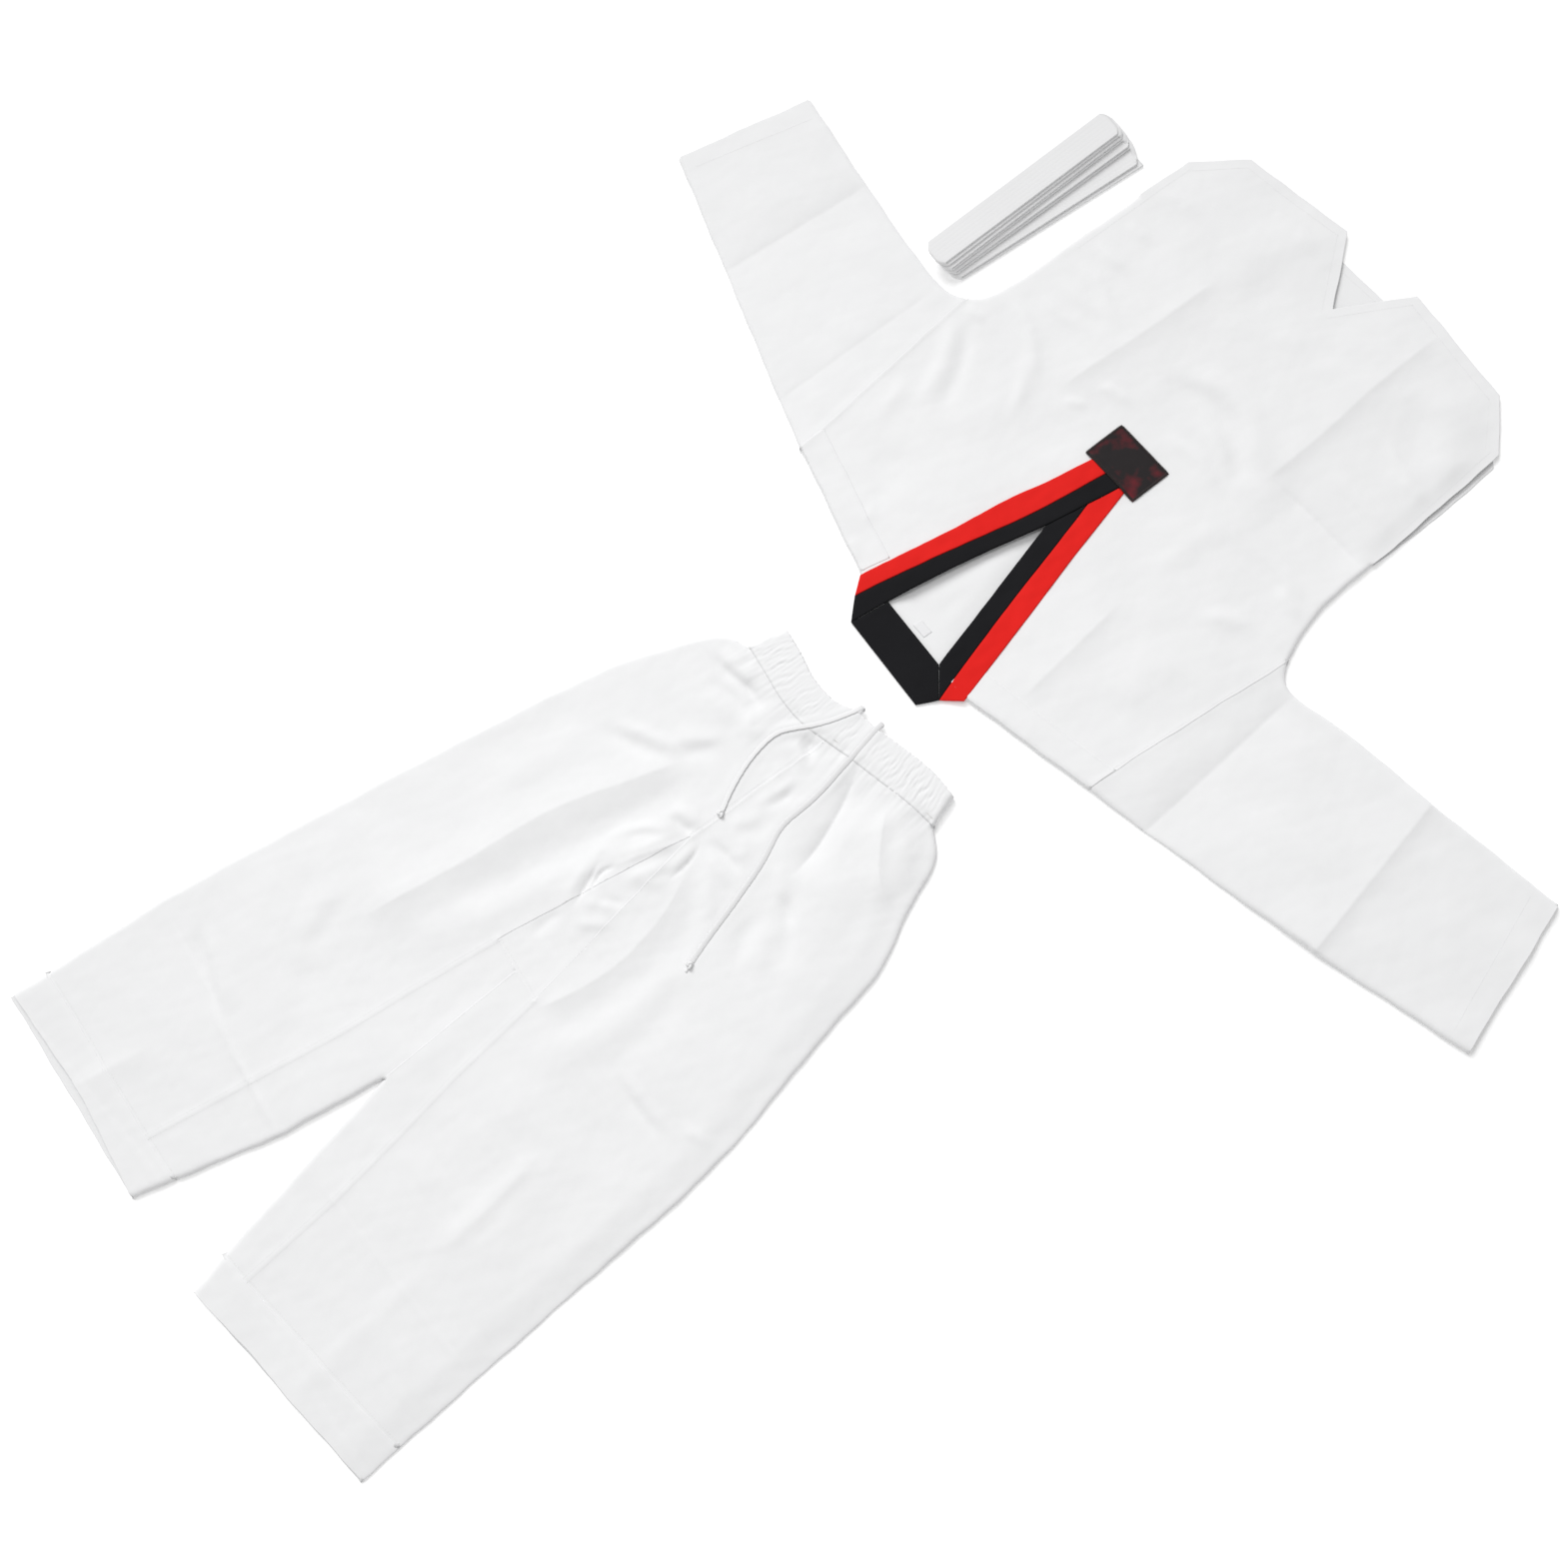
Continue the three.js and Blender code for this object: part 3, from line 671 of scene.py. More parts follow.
def jacketSurface(points):
    z = np.full(len(points), float(jacket["high"]))
    d = distanceTo(points, frontHem)[0]
    z -= jacket["hemDrop"] * (1 - smoothstep(d / jacket["hemReach"]))
    seen = points - jacket["lean"]
    z += folded(seen, jacketFolds) + folded(seen, jacketCreases + sleeveCreases, True)
    z += jacket["ripple"] * jacketRipple(points) + 0.09 * fineRipple(points) + 0.03 * crispRipple(points)
    for line in (leftArmhole, rightArmhole):
        d = distanceTo(points, line)[0]
        z += jacket["seamHigh"] * np.exp(-(d / jacket["seamReach"]) ** 2)
    return z


# Cloth that rounds over at a folded edge, down to its middle height
def rolledEdge(points, top, foldLines, radius, middle):
    d = np.full(len(points), 1e9)
    for line in foldLines:
        d = np.minimum(d, distanceTo(points, line)[0])
    u = np.clip(1 - d / radius, 0, 1)
    return middle + (top - middle) * np.sqrt(np.maximum(1 - u * u, 0))


def tucked(points, z, lines):
    for line in lines:
        z = z - tuck["drop"] * (1 - smoothstep(distanceTo(points, line)[0] / 3.5))
    return z


crossRows = (-5, -2.2, 0, 2.2, 5)  # rows of points along a crease
jointRows = (-6, -3, -1, 1, 3, 6, 12)
turnReach = np.arange(-28, 29, 4)  # close rows where the back layer turns


def creaseRows(creases, lean, offsets, side=None):
    return [(smoothLine(line) + lean, offsets) for _, _, _, line in creases
            if side is None or (line[0][0] > 0) == (side == "right")]


# Front and back layers of cloth that meet at the folded edges, given their thickness
def makeShell(name, front, back, surface, low, settings, material, foldLines, middle, fine=(), guides=(),
              tucks=(), turns=()):
    verts, faces, areas = [], [], 0.0
    turnRows = [(line, turnReach) for line in turns]
    foldLines = [wobble(along(smoothLine(line), settings["step"])) for line in foldLines]
    for edges, isFront in ((front, True), (back, False)):
        points, triangles, area = planMesh(edges, settings["step"], guides if isFront else turnRows,
                                           fine if isFront else (),
                                           within=settings["step" if isFront else "backStep"])
        areas += area
        level = surface(points) if isFront else low(points)
        under = tucked(points, level, tucks)
        level = under if isFront else 2 * level - under
        z = rolledEdge(points, level, foldLines, settings["foldRadius"], middle(points))
        base = len(verts)
        verts += [inFrame(x, y, h) for (x, y), h in zip(points, z)]
        faces += [tuple(base + i for i in (t if isFront else t[::-1])) for t in triangles]
    piece = merged(meshObject(name, verts, faces, material))
    print(name, len(piece.data.vertices), "points")
    return thickened(piece, settings["cloth"]), areas / 1e6


def seamless(line, kind="fold"):
    return (kind, smoothLine(line))


def back(line):
    return list(line)[::-1]


def attached(piece, body):
    if body:
        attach(piece, body)
    else:
        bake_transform(piece)


# Rows of thread: a short bead of thread set along every line that it is given
def makeStitchTree():
    tree = bpy.data.node_groups.new("stitch row", "GeometryNodeTree")
    sockets = tree.interface
    sockets.new_socket(name="Geometry", in_out="INPUT", socket_type="NodeSocketGeometry")
    for label in ("Spacing", "Length", "Width", "Height", "Turn"):
        sockets.new_socket(name=label, in_out="INPUT", socket_type="NodeSocketFloat")
    sockets.new_socket(name="Thread", in_out="INPUT", socket_type="NodeSocketMaterial")
    sockets.new_socket(name="Geometry", in_out="OUTPUT", socket_type="NodeSocketGeometry")
    start, end = tree.nodes.new("NodeGroupInput"), tree.nodes.new("NodeGroupOutput")

    def node(kind, **given):
        made = tree.nodes.new(kind)
        for label, value in given.items():
            if isinstance(value, (int, float, tuple)):
                made.inputs[label.replace("_", " ")].default_value = value
            else:
                link(tree, value, made.inputs[label.replace("_", " ")])
        return made
    curve = node("GeometryNodeMeshToCurve", Mesh=start.outputs["Geometry"])
    spaced = node("GeometryNodeResampleCurve", Curve=curve.outputs[0])
    spaced.mode = "LENGTH"
    link(tree, start.outputs["Spacing"], spaced.inputs["Length"])
    bead = node("GeometryNodeMeshUVSphere", Segments=6, Rings=4, Radius=0.5)
    scale = node("ShaderNodeCombineXYZ", X=start.outputs["Length"], Y=start.outputs["Width"],
                 Z=start.outputs["Height"])
    shaped = node("GeometryNodeTransform", Geometry=bead.outputs[0], Scale=scale.outputs[0])
    tangent = tree.nodes.new("GeometryNodeInputTangent")
    aligned = node("FunctionNodeAlignRotationToVector", Vector=tangent.outputs[0])
    aligned.axis = "X"
    turn = node("FunctionNodeAxisAngleToRotation", Axis=(0.0, 0.0, 1.0), Angle=start.outputs["Turn"])
    rotated = node("FunctionNodeRotateRotation", Rotation=aligned.outputs[0], Rotate_By=turn.outputs[0])
    rotated.rotation_space = "LOCAL"
    placed = node("GeometryNodeInstanceOnPoints", Points=spaced.outputs[0], Instance=shaped.outputs[0],
                  Rotation=rotated.outputs[0])
    real = node("GeometryNodeRealizeInstances", Geometry=placed.outputs[0])
    finish = node("GeometryNodeSetMaterial", Geometry=real.outputs[0], Material=start.outputs["Thread"])
    link(tree, finish.outputs[0], end.inputs[0])
    return tree


stitchTree = makeStitchTree()
stitching = {"Spacing": 0.0034, "Length": 0.0028, "Width": 0.0006, "Height": 0.0004, "Turn": 0.0}
overlock = {"Spacing": 0.0009, "Length": 0.0046, "Width": 0.00095, "Height": 0.0012, "Turn": 1.45}


def makeStitches(name, rows, heightAt, body=None, thread="thread",
                 look=stitching, raised=0.02):
    verts, edges = [], []
    for row in rows:
        line = along(row, 3.0)
        z = heightAt(line[:, :2]) + raised
        base = len(verts)
        verts += [inFrame(x, y, h) for (x, y), h in zip(line[:, :2], z)]
        edges += [(base + i, base + i + 1) for i in range(len(line) - 1)]
    mesh = bpy.data.meshes.new(name)
    mesh.from_pydata(verts, edges, [])
    mesh.materials.append(cloths[thread])
    piece = bpy.data.objects.new(name, mesh)
    scene.collection.objects.link(piece)
    sewn = piece.modifiers.new("stitches", "NODES")
    sewn.node_group = stitchTree
    for item in stitchTree.interface.items_tree:
        if item.in_out == "INPUT" and item.name in look:
            sewn[item.identifier] = look[item.name]
        elif item.in_out == "INPUT" and item.name == "Thread":
            sewn[item.identifier] = cloths[thread]
    applied(piece)
    piece.data.polygons.foreach_set("use_smooth", [True] * len(piece.data.polygons))
    attached(piece, body)


def placed(piece, slot, nodes, flat, held, area, body=None, bend=None, restsOn=()):
    attached(piece, body)
    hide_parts(*nodes)


# A flat piece sewn on top of a surface; its rim turns down over the given radius
def makeOverlay(name, edges, surface, lift, thick, material, step=3.5, rim=1.3, steady=True):
    points, triangles, area = planMesh(edges, step, steady=steady)
    loop = np.vstack([along(line, step) for _, line in edges])
    loop = np.vstack((loop, loop[:1]))
    d = distanceTo(points, loop if steady else wobble(loop))[0]
    u = np.clip(1 - d / rim, 0, 1)
    z = surface(points) + lift * (0.35 + 0.65 * np.sqrt(1 - u * u))
    piece = merged(meshObject(name, [inFrame(x, y, h) for (x, y), h in zip(points, z)], triangles, material))
    return thickened(piece, thick), area / 1e6


rightVentEdge = [(270, 448), (269, 470), (268, 500), (262, 600)]
backNeck = [(-52, 5), (47, 3)]
backFolds = [(1.3, 7, 10, [(-20, 24), (-10, 90), (-5, 170)]), (1.1, 9, 6, [(20, 20), (9, 80), (0, 150)])]


def jacketFront(points):
    z = jacketSurface(points)
    beside = 1 - smoothstep(distanceTo(points, rightVentEdge)[0] / jacket["edgeReach"])
    return z - (z - jacket["edgeLow"]) * beside * smoothstep((points[:, 1] - 430) / 40)


def jacketBack(points):
    z = 0.2 + 0.2 * np.abs(jacketRipple(points))
    neck = distanceTo(points, backNeck)[0]
    return z + jacket["neckRise"] * (1 - smoothstep(neck / jacket["neckReach"])) + folded(points, backFolds)


def evenMiddle(points):
    return np.full(len(points), jacket["middle"])


jacketFolded = [leftShoulder, rightShoulder, leftSide, leftVent, rightSide]
bodyFront = [
    seamless(leftArmhole, "seam"), seamless(leftSide), ("fold", leftVent), ("free", leftFrontVent),
    *[("free", frontHem[i:i + 2]) for i in range(len(frontHem) - 1)],
    ("free", back(rightFrontVent)), ("free", [(268, 500), (269, 470), (270, 448)]),
    ("fold", smoothLine(rightSide)[::-1]), ("seam", smoothLine(rightArmhole)[::-1]),
    ("fold", back(rightShoulder)), ("free", [(100, -2), (56, 1)]), ("free", back(frontNeck)),
    ("free", [(-60, 3), (-100, 2)]), ("fold", leftShoulder)]
bodyBack = [
    seamless(leftArmhole, "seam"), seamless(leftSide), ("fold", leftVent),
    ("free", [(-270, 570), (-262, 642)]),
    *[("free", backHem[i:i + 2]) for i in range(len(backHem) - 1)],
    ("free", [(267, 632), (272, 540), (270, 448)]), ("fold", smoothLine(rightSide)[::-1]),
    ("seam", smoothLine(rightArmhole)[::-1]), ("fold", back(rightShoulder)),
    ("free", [(100, -2), (47, -2)]), ("free", [(47, -2), (-52, 1)]), ("free", [(-52, 1), (-100, 2)]),
    ("fold", leftShoulder)]
creaseGuides = creaseRows(jacketCreases, jacket["lean"], crossRows)
hemGuides = [(line, (-1.2, 1.2)) for line in ([(-216, 690), (-70, 705)], [(56, 705), (202, 683)])]
hemFold = [(-290, 448), (290, 448)]

jacketBody, bodyArea = makeShell("jacketBody", bodyFront, bodyBack, jacketFront, jacketBack, jacket,
                                 cloths["white"], jacketFolded, evenMiddle, guides=creaseGuides + hemGuides,
                                 turns=[hemFold])
placed(jacketBody, "white_cloth",
       ["front_panel_upper", "back_panel_upper", "front_panel_lower", "back_panel_lower", "left_side_seam",
        "right_side_seam", "left_vent_seam", "right_vent_seam"], (1.12, 0.75), "laid", bodyArea, bend="hem")

sleeve = dict(jacket, backStep=8.0)
sleeves = {
    "left": {
        "top": [(-276, 46), (-350, 67), (-541, 125)], "farTop": [(-541, 125), (-714, 177)],
        "under": [(-303, 325), (-320, 317), (-342, 313), (-400, 318), (-518, 335)],
        "farUnder": [(-518, 335), (-666, 359)], "armhole": leftArmhole, "flat": (0.54, 0.44)},
    "right": {
        "top": [(271, 37), (345, 54), (555, 103)], "farTop": [(555, 103), (730, 155)],
        "under": [(297, 302), (318, 282), (400, 296), (508, 309)],
        "farUnder": [(508, 309), (673, 333)], "armhole": rightArmhole, "flat": (0.52, 0.47)},
}


def makeSleeve(side, plan):
    outline = [
        ("tuck", smoothLine(plan["armhole"])[::-1]), ("fold", plan["top"][:2]), ("fold", plan["top"][1:]),
        ("fold", plan["farTop"]), ("free", [plan["farTop"][1], plan["farUnder"][1]]),
        ("fold", back(plan["farUnder"])), ("fold", smoothLine(plan["under"])[::-1])]
    joint = [plan["top"][-1], plan["under"][-1]]
    guides = [(joint, jointRows), ([plan["top"][1], plan["under"][1]], (-3, -1, 1, 3)),
              *creaseRows(sleeveCreases, jacket["lean"], crossRows, side)]
    folds = [plan["top"][:2], plan["top"][1:], plan["farTop"], plan["farUnder"], plan["under"]]
    piece, area = makeShell(f"{side}Sleeve", outline, outline, jacketSurface, sleeveBack, sleeve,
                            cloths[f"white{side.title()}Sleeve"], folds,
                            evenMiddle, guides=guides, tucks=[smoothLine(plan["armhole"])], turns=[joint])
    placed(piece, "white_cloth", [f"{side}_sleeve_front", f"{side}_sleeve_back", f"{side}_underarm_seam",
           f"{side}_forearm_front", f"{side}_forearm_back", f"{side}_forearm_seam"], plan["flat"],
           "laid", area, bend=f"{side}Sleeve")


def sleeveBack(points):
    return 0.2 + 0.15 * np.abs(jacketRipple(points))


for side, plan in sleeves.items():
    makeSleeve(side, plan)


# Collar: red outside, black inside, the left band lying over the right one
collar = {"step": 3.0, "leftLift": 2.5, "rightLift": 1.5, "thick": 1.3, "fallFrom": 7, "fall": 0.1346,
          "bandThick": 2.0, "bandHigh": 7.6, "bandLow": 1.9, "shift": (2.8, -2.2), "patchShift": (5.0, -4.5)}
leftOuter = [(-37, 302), (-50, 240), (-61, 200), (-75, 120), (-100, 2)]
leftMiddle = [(-12, 302), (-22, 240), (-30, 200), (-50, 120), (-84, -19)]
leftInner = [(12, 302), (4, 260), (-7, 206), (-29, 120), (-52, 7)]
rightOuter = [(20, 302), (36, 240), (46, 200), (68, 120), (100, -2)]
rightMiddle = [(4, 260), (20, 200), (40, 120), (80, -23)]


def collarSurface(points):
    z = jacketSurface(np.column_stack((points[:, 0], np.maximum(points[:, 1], 12))))
    return z - collar["fall"] * np.maximum(collar["fallFrom"] - points[:, 1], 0) + 0.15 * fineRipple(points)


def rim(*lines, shift=(0, 0)):
    return [("rim", np.array(line, float) + shift) for line in lines]


collarPieces = {
    "leftCollarRed": (rim(smoothLine(leftOuter), [(-100, 2), (-84, -19)], smoothLine(leftMiddle)[::-1],
                          [(-12, 302), (-37, 302)]), "leftLift", "red", "left_collar_red"),
    "leftCollarBlack": (rim(smoothLine(leftMiddle), [(-84, -19), (-62, -42)], [(-62, -42), (-52, 7)],
                            smoothLine(leftInner)[::-1], [(12, 302), (-12, 302)]), "leftLift", "black",
                        "left_collar_black"),
    "rightCollarRed": (rim(smoothLine(rightOuter), [(100, -2), (80, -23)], smoothLine(rightMiddle)[::-1],
                           [(4, 260), (12, 302)], [(12, 302), (20, 302)]), "rightLift", "red",
                       "right_collar_red"),
    "rightCollarBlack": (rim(smoothLine(rightMiddle), [(80, -23), (47, 4)], [(47, 4), (-7, 206)],
                             [(-7, 206), (4, 260)]), "rightLift", "black", "right_collar_black"),
}
for name, (edges, lift, colour, node) in collarPieces.items():
    edges = [(kind, line + collar["shift"]) for kind, line in edges]
    piece, area = makeOverlay(name, edges, collarSurface, collar[lift], collar["thick"], cloths[colour],
                              collar["step"])
    placed(piece, f"collar_{colour}", [node], (0.045, 0.36), "laid", area, body="jacket",
           restsOn=["jacketBody"])


def backBandSurface(points):
    level = (collar["bandHigh"] - collar["fall"] * (collar["fallFrom"] - points[:, 1])
             + 0.15 * fineRipple(points))
    return np.maximum(level, collar["bandLow"])


def closedRim(*corners, shift=(0, 0)):
    return rim(*zip(corners, corners[1:] + corners[:1]), shift=shift)


bandEdges = closedRim((-52, 6.4), (-62, -42), (67, -47), (80, -23), (47, 3.4), shift=collar["shift"])
backBand, area = makeOverlay("backNeckBand", bandEdges, backBandSurface, 2.0, collar["bandThick"],
                             cloths["black"], rim=2.0)
placed(backBand, "collar_black", ["back_neck_band"], (0.145, 0.055), "folded", area, body="jacket")


# Chest patch with an overlocked border, and the small tape label inside the neck
def patchSurface(points):
    left, right = collarSurface(points) + collar["leftLift"] - 0.6, jacketSurface(points) + 0.2
    x, y = points[:, 0], points[:, 1]
    over = smoothstep((x + 42) / 8) * smoothstep((26 - x) / 8) * smoothstep((308 - y) / 6)
    return right + (left - right) * over


patchEdges = closedRim((-51, 303), (33, 303), (33, 358), (-51, 358), shift=collar["patchShift"])
chestPatch, area = makeOverlay("chestPatch", patchEdges, patchSurface, 1.3, 1.2, cloths["patch"], 2.5,
                               rim=1.0)
placed(chestPatch, "patch_cloth", ["chest_patch"], (0.084, 0.055), "laid", area, body="jacket",
       restsOn=["jacketBody"])
inset = np.array([(-49.6, 304.4), (31.6, 304.4), (31.6, 356.6), (-49.6, 356.6), (-49.6, 304.4)]) \
    + collar["patchShift"]
makeStitches("patchBorder", [inset], patchSurface, body="jacket", thread="patchThread",
             look=overlock, raised=1.17)


# The face of the back panel that shows inside the neck and under the front hem
def insideBack(points):
    return jacketBack(points) + jacket["cloth"]


sizeLabel, area = makeOverlay("sizeLabel", closedRim((-8, 9), (12, 9), (12, 21), (-8, 21)), insideBack,
                              0.5, 0.4, cloths["tape"], 1.5, rim=0.4)
placed(sizeLabel, "label_tape", ["size_label"], (0.02, 0.012), "laid", area, body="jacket",
       restsOn=["jacketBody"])


# Shoulder yokes
def yokeSurface(points, line):
    line = wobble(along(line, jacket["step"]))
    return rolledEdge(points, jacketSurface(points), [line], jacket["foldRadius"], evenMiddle(points))


for side, shoulder, inner in (("left", leftShoulder, [(-278, 84), (-150, 53), (-92, 40)]),
                              ("right", rightShoulder, [(273, 74), (150, 48), (90, 36)])):
    sign = -1 if side == "left" else 1
    top = [(x + 0.12 * sign, y + 1.6) for x, y in shoulder]
    edges = rim(top, [top[1], inner[0]], inner[:2], inner[1:], [inner[2], top[0]])
    yoke, area = makeOverlay(f"{side}Yoke", edges, lambda p: yokeSurface(p, shoulder), 0.55, 0.5,
                             cloths["white"], rim=1.0, steady=False)
    placed(yoke, "white_cloth", [f"{side}_yoke"], (0.19, 0.045), "laid", area, body="jacket",
           restsOn=["jacketBody"])

yokeRows = [[(-276, 81), (-150, 51), (-94, 38)], [(271, 71), (150, 46), (92, 34)]]
makeStitches("yokeStitches", yokeRows, jacketSurface, body="jacket", raised=0.5)
armholeRows = [smoothLine(leftArmhole) + (4, 0), smoothLine(rightArmhole) - (4, 0)]
makeStitches("armholeStitches", armholeRows, jacketSurface, body="jacket")
hemRows = [[(-208, 693), (-70, 706.5)], [(-70, 706.5), (-6, 624)], [(6, 624), (56, 706)],
           [(56, 706), (200, 685)], [(-255, 640), (-212, 692)], [(243, 640), (202, 685)],
           [(-263, 470), (-257, 640)], [(260, 500), (251, 640)]]
makeStitches("hemStitches", hemRows, jacketFront)
makeStitches("backHemStitches", [[(-40, 680), (40, 681)]], insideBack)
for side, row in (("left", [(-687, 187), (-640, 340)]), ("right", [(703, 162), (649, 315)])):
    makeStitches(f"{side}CuffStitches", [row], jacketSurface, body=f"{side}_forearm")
print("jacket sewn")

# Trousers
waistTop = [(-99, -110), (-64, -115), (-30, -122), (8, -120), (34, -109), (66, -103), (110, -92),
            (148, -85), (184, -85)]
waistBottom = [(-111, -157), (-72, -162), (-32, -167), (4, -166), (38, -158), (72, -149), (116, -139),
               (156, -130), (196, -124)]
leftOutside = [(-111, -157), (-140, -170), (-173, -230), (-200, -302), (-243, -500), (-298, -800),
               (-313, -893)]
rightOutside = [(196, -124), (225, -143), (255, -205), (288, -275), (305, -360), (343, -545),
                (357, -760), (364, -880)]
gusset = {"top": (32, -345), "left": (-13, -594), "middle": (29, -597), "right": (71, -600)}
crotch = (35, -790)
leftPanel = [(-13, -594), (-28, -700), (-40, -800), (-60, -915), (-84, -1053)]
rightPanel = [(71, -600), (85, -725), (97, -800), (112, -906), (122, -1038)]
leftFold = [(-313, -893), (-60, -915), (14, -921)]
rightFold = [(57, -912), (112, -906), (364, -880)]
leftBand = [(-328, -1056), (-84, -1053), (-22, -1050)]
rightBand = [(83, -1044), (122, -1038), (371, -990)]
centreSeam = [(38, -158), (35, -250), (32, -345)]

trousers = {"step": 4.0, "backStep": 9.0, "high": 7.8, "rise": 3.3, "cloth": 0.9, "foldRadius": 5.8,
            "ripple": 0.5, "gather": 0.5, "pleat": 0.6, "rightFall": 3.4, "fallReach": 38, "bandStep": 0.4,
            "lean": (4.6, -4.2), "shinAt": -893, "riseLength": 735, "weltReach": 4.2,
            "puff": 2.2, "puffAt": (20, -430), "puffSize": (46, 95)}
# Soft folds of the trouser front: height, reach left, reach right, line
trouserFolds = [
    (-3.6, 6, 7, [(-146, -193), (-105, -191), (-70, -184), (-38, -188)]),
    (2.0, 12, 9, [(-140, -180), (-100, -178), (-62, -172)]),
    (-2.6, 13, 12, [(-86, -178), (-60, -186), (-36, -192)]),
    (1.8, 8, 9, [(-52, -196), (-30, -212), (-14, -198)]),
    (-1.6, 8, 9, [(-118, -216), (-92, -208), (-62, -204), (-40, -212)]),
    (1.6, 15, 14, [(-110, -232), (-75, -220), (-45, -228)]),
    (2.2, 9, 12, [(-40, -238), (-62, -268), (-84, -296)]),
    (-2.0, 12, 8, [(-34, -248), (-52, -276), (-66, -302)]),
    (-2.4, 9, 9, [(-50, -298), (-92, -324), (-156, -352)]),
    (2.4, 8, 8, [(-56, -286), (-98, -308), (-148, -334)]),
    (2.0, 30, 24, [(-52, -300), (-72, -372), (-100, -460), (-118, -580), (-140, -700)]),
    (-2.6, 20, 24, [(-20, -290), (-34, -380), (-52, -460), (-72, -550), (-90, -620)]),
    (2.4, 24, 24, [(0, -300), (-14, -400), (-34, -500), (-58, -600), (-80, -680)]),
    (1.9, 16, 20, [(-196, -692), (-182, -735), (-160, -784)]),
    (-1.5, 14, 14, [(-180, -702), (-164, -742), (-144, -786)]),
    (1.5, 22, 22, [(-150, -800), (-110, -850), (-80, -880)]),
    (1.6, 20, 20, [(-158, -350), (-160, -420), (-172, -500)]),
    (-1.4, 28, 24, [(-190, -340), (-205, -430), (-225, -520)]),
    (-2.0, 9, 10, [(-272, -874), (-210, -892), (-146, -908)]),
    (1.8, 12, 9, [(-262, -860), (-205, -878), (-140, -898)]),
    (1.3, 20, 18, [(118, -170), (146, -226), (180, -284), (214, -340)]),
    (1.4, 12, 14, [(176, -150), (208, -176), (236, -190)]),
    (1.4, 20, 20, [(164, -206), (196, -260), (226, -328), (236, -390)]),
    (-1.4, 9, 8, [(138, -280), (162, -302), (196, -330), (222, -352)]),
    (1.6, 8, 8, [(112, -284), (140, -296), (166, -304)]),
    (-1.8, 7, 8, [(140, -302), (160, -306), (184, -316)]),
    (-2.0, 10, 10, [(147, -326), (156, -360), (172, -384), (186, -400)]),
    (1.8, 14, 14, [(156, -322), (176, -350), (206, -384)]),
    (-1.8, 18, 20, [(92, -376), (118, -440), (126, -500), (118, -560), (102, -612)]),
    (2.2, 22, 22, [(128, -420), (142, -480), (140, -560), (130, -640)]),
    (-1.3, 16, 18, [(160, -440), (178, -520), (184, -600)]),
    (-2.4, 6, 6, [(40, -330), (68, -324), (102, -322)]),
    (2.0, 8, 8, [(44, -338), (76, -342), (108, -340)]),
    (-1.6, 12, 14, [(52, -362), (84, -384), (122, -406)]),
    (1.6, 10, 10, [(48, -346), (84, -360), (124, -388)]),
    (-2.3, 5, 6, [(32, -334), (14, -342), (-10, -348)]),
    (1.9, 7, 7, [(30, -326), (8, -330), (-20, -338)]),
    (1.8, 9, 8, [(24, -350), (-2, -366), (-26, -398), (-34, -440)]),
    (-1.6, 6, 6, [(8, -364), (-12, -386), (-22, -410)]),
    (2.0, 7, 7, [(34, -340), (42, -364), (44, -392)]),
    (1.8, 8, 6, [(16, -352), (6, -386), (-8, -424)]),
    (3.4, 10, 10, [(36, -372), (30, -406), (20, -444)]),
    (1.8, 7, 8, [(-26, -448), (-14, -478), (0, -508)]),
    (2.2, 8, 8, [(8, -490), (24, -470), (46, -458)]),
    (-1.8, 6, 6, [(14, -480), (32, -458), (48, -446)]),
    (1.6, 7, 7, [(20, -512), (40, -490), (54, -470)]),
    (-1.6, 6, 7, [(4, -506), (2, -530), (4, -560)]),
    (1.5, 8, 8, [(30, -420), (46, -408), (50, -390)]),
    (-1.3, 6, 6, [(-28, -434), (-14, -438), (-4, -446)]),
    (1.5, 10, 10, [(24, -200), (36, -226), (44, -250)]),
    (-2.0, 6, 7, [(56, -206), (58, -232), (50, -262)]),
    (2.0, 7, 7, [(48, -200), (50, -232), (44, -268)]),
    (-2.4, 7, 7, [(14, -178), (30, -172), (48, -186)]),
    (-3.0, 9, 8, [(22, -160), (30, -172), (40, -176)]),
    (1.8, 7, 7, [(8, -190), (26, -184), (46, -196)]),
    (1.6, 10, 10, [(64, -260), (52, -286), (42, -306)]),
    (-1.3, 10, 10, [(78, -250), (66, -284), (56, -308)]),
    (1.3, 12, 12, [(92, -320), (72, -300), (62, -284)]),
    (-1.5, 6, 8, [(186, -569), (236, -570), (292, -566)]),
    (1.2, 8, 6, [(186, -560), (236, -561), (292, -557)]),
    (1.2, 6, 6, [(278, -541), (300, -536), (322, -527)]),
    (2.6, 24, 13, [(204, -676), (218, -740), (227, -846)]),
    (-1.4, 11, 14, [(216, -690), (232, -750), (240, -830)]),
    (1.0, 14, 10, [(232, -850), (240, -930), (250, -1062)]),
    (1.5, 22, 12, [(-172, -978), (-184, -1040), (-194, -1100)]),
    (1.2, 20, 20, [(30, -606), (33, -690), (34, -780)]),
    (-1.0, 12, 12, [(14, -610), (16, -680), (22, -760)]),
    (1.3, 30, 26, [(150, -640), (148, -740), (160, -840)]),
    (-1.1, 30, 30, [(270, -640), (282, -740), (290, -840)]),
    (1.2, 26, 26, [(-230, -620), (-244, -720), (-262, -800)]),
    (-0.9, 20, 20, [(-110, -720), (-120, -790), (-130, -850)]),
]
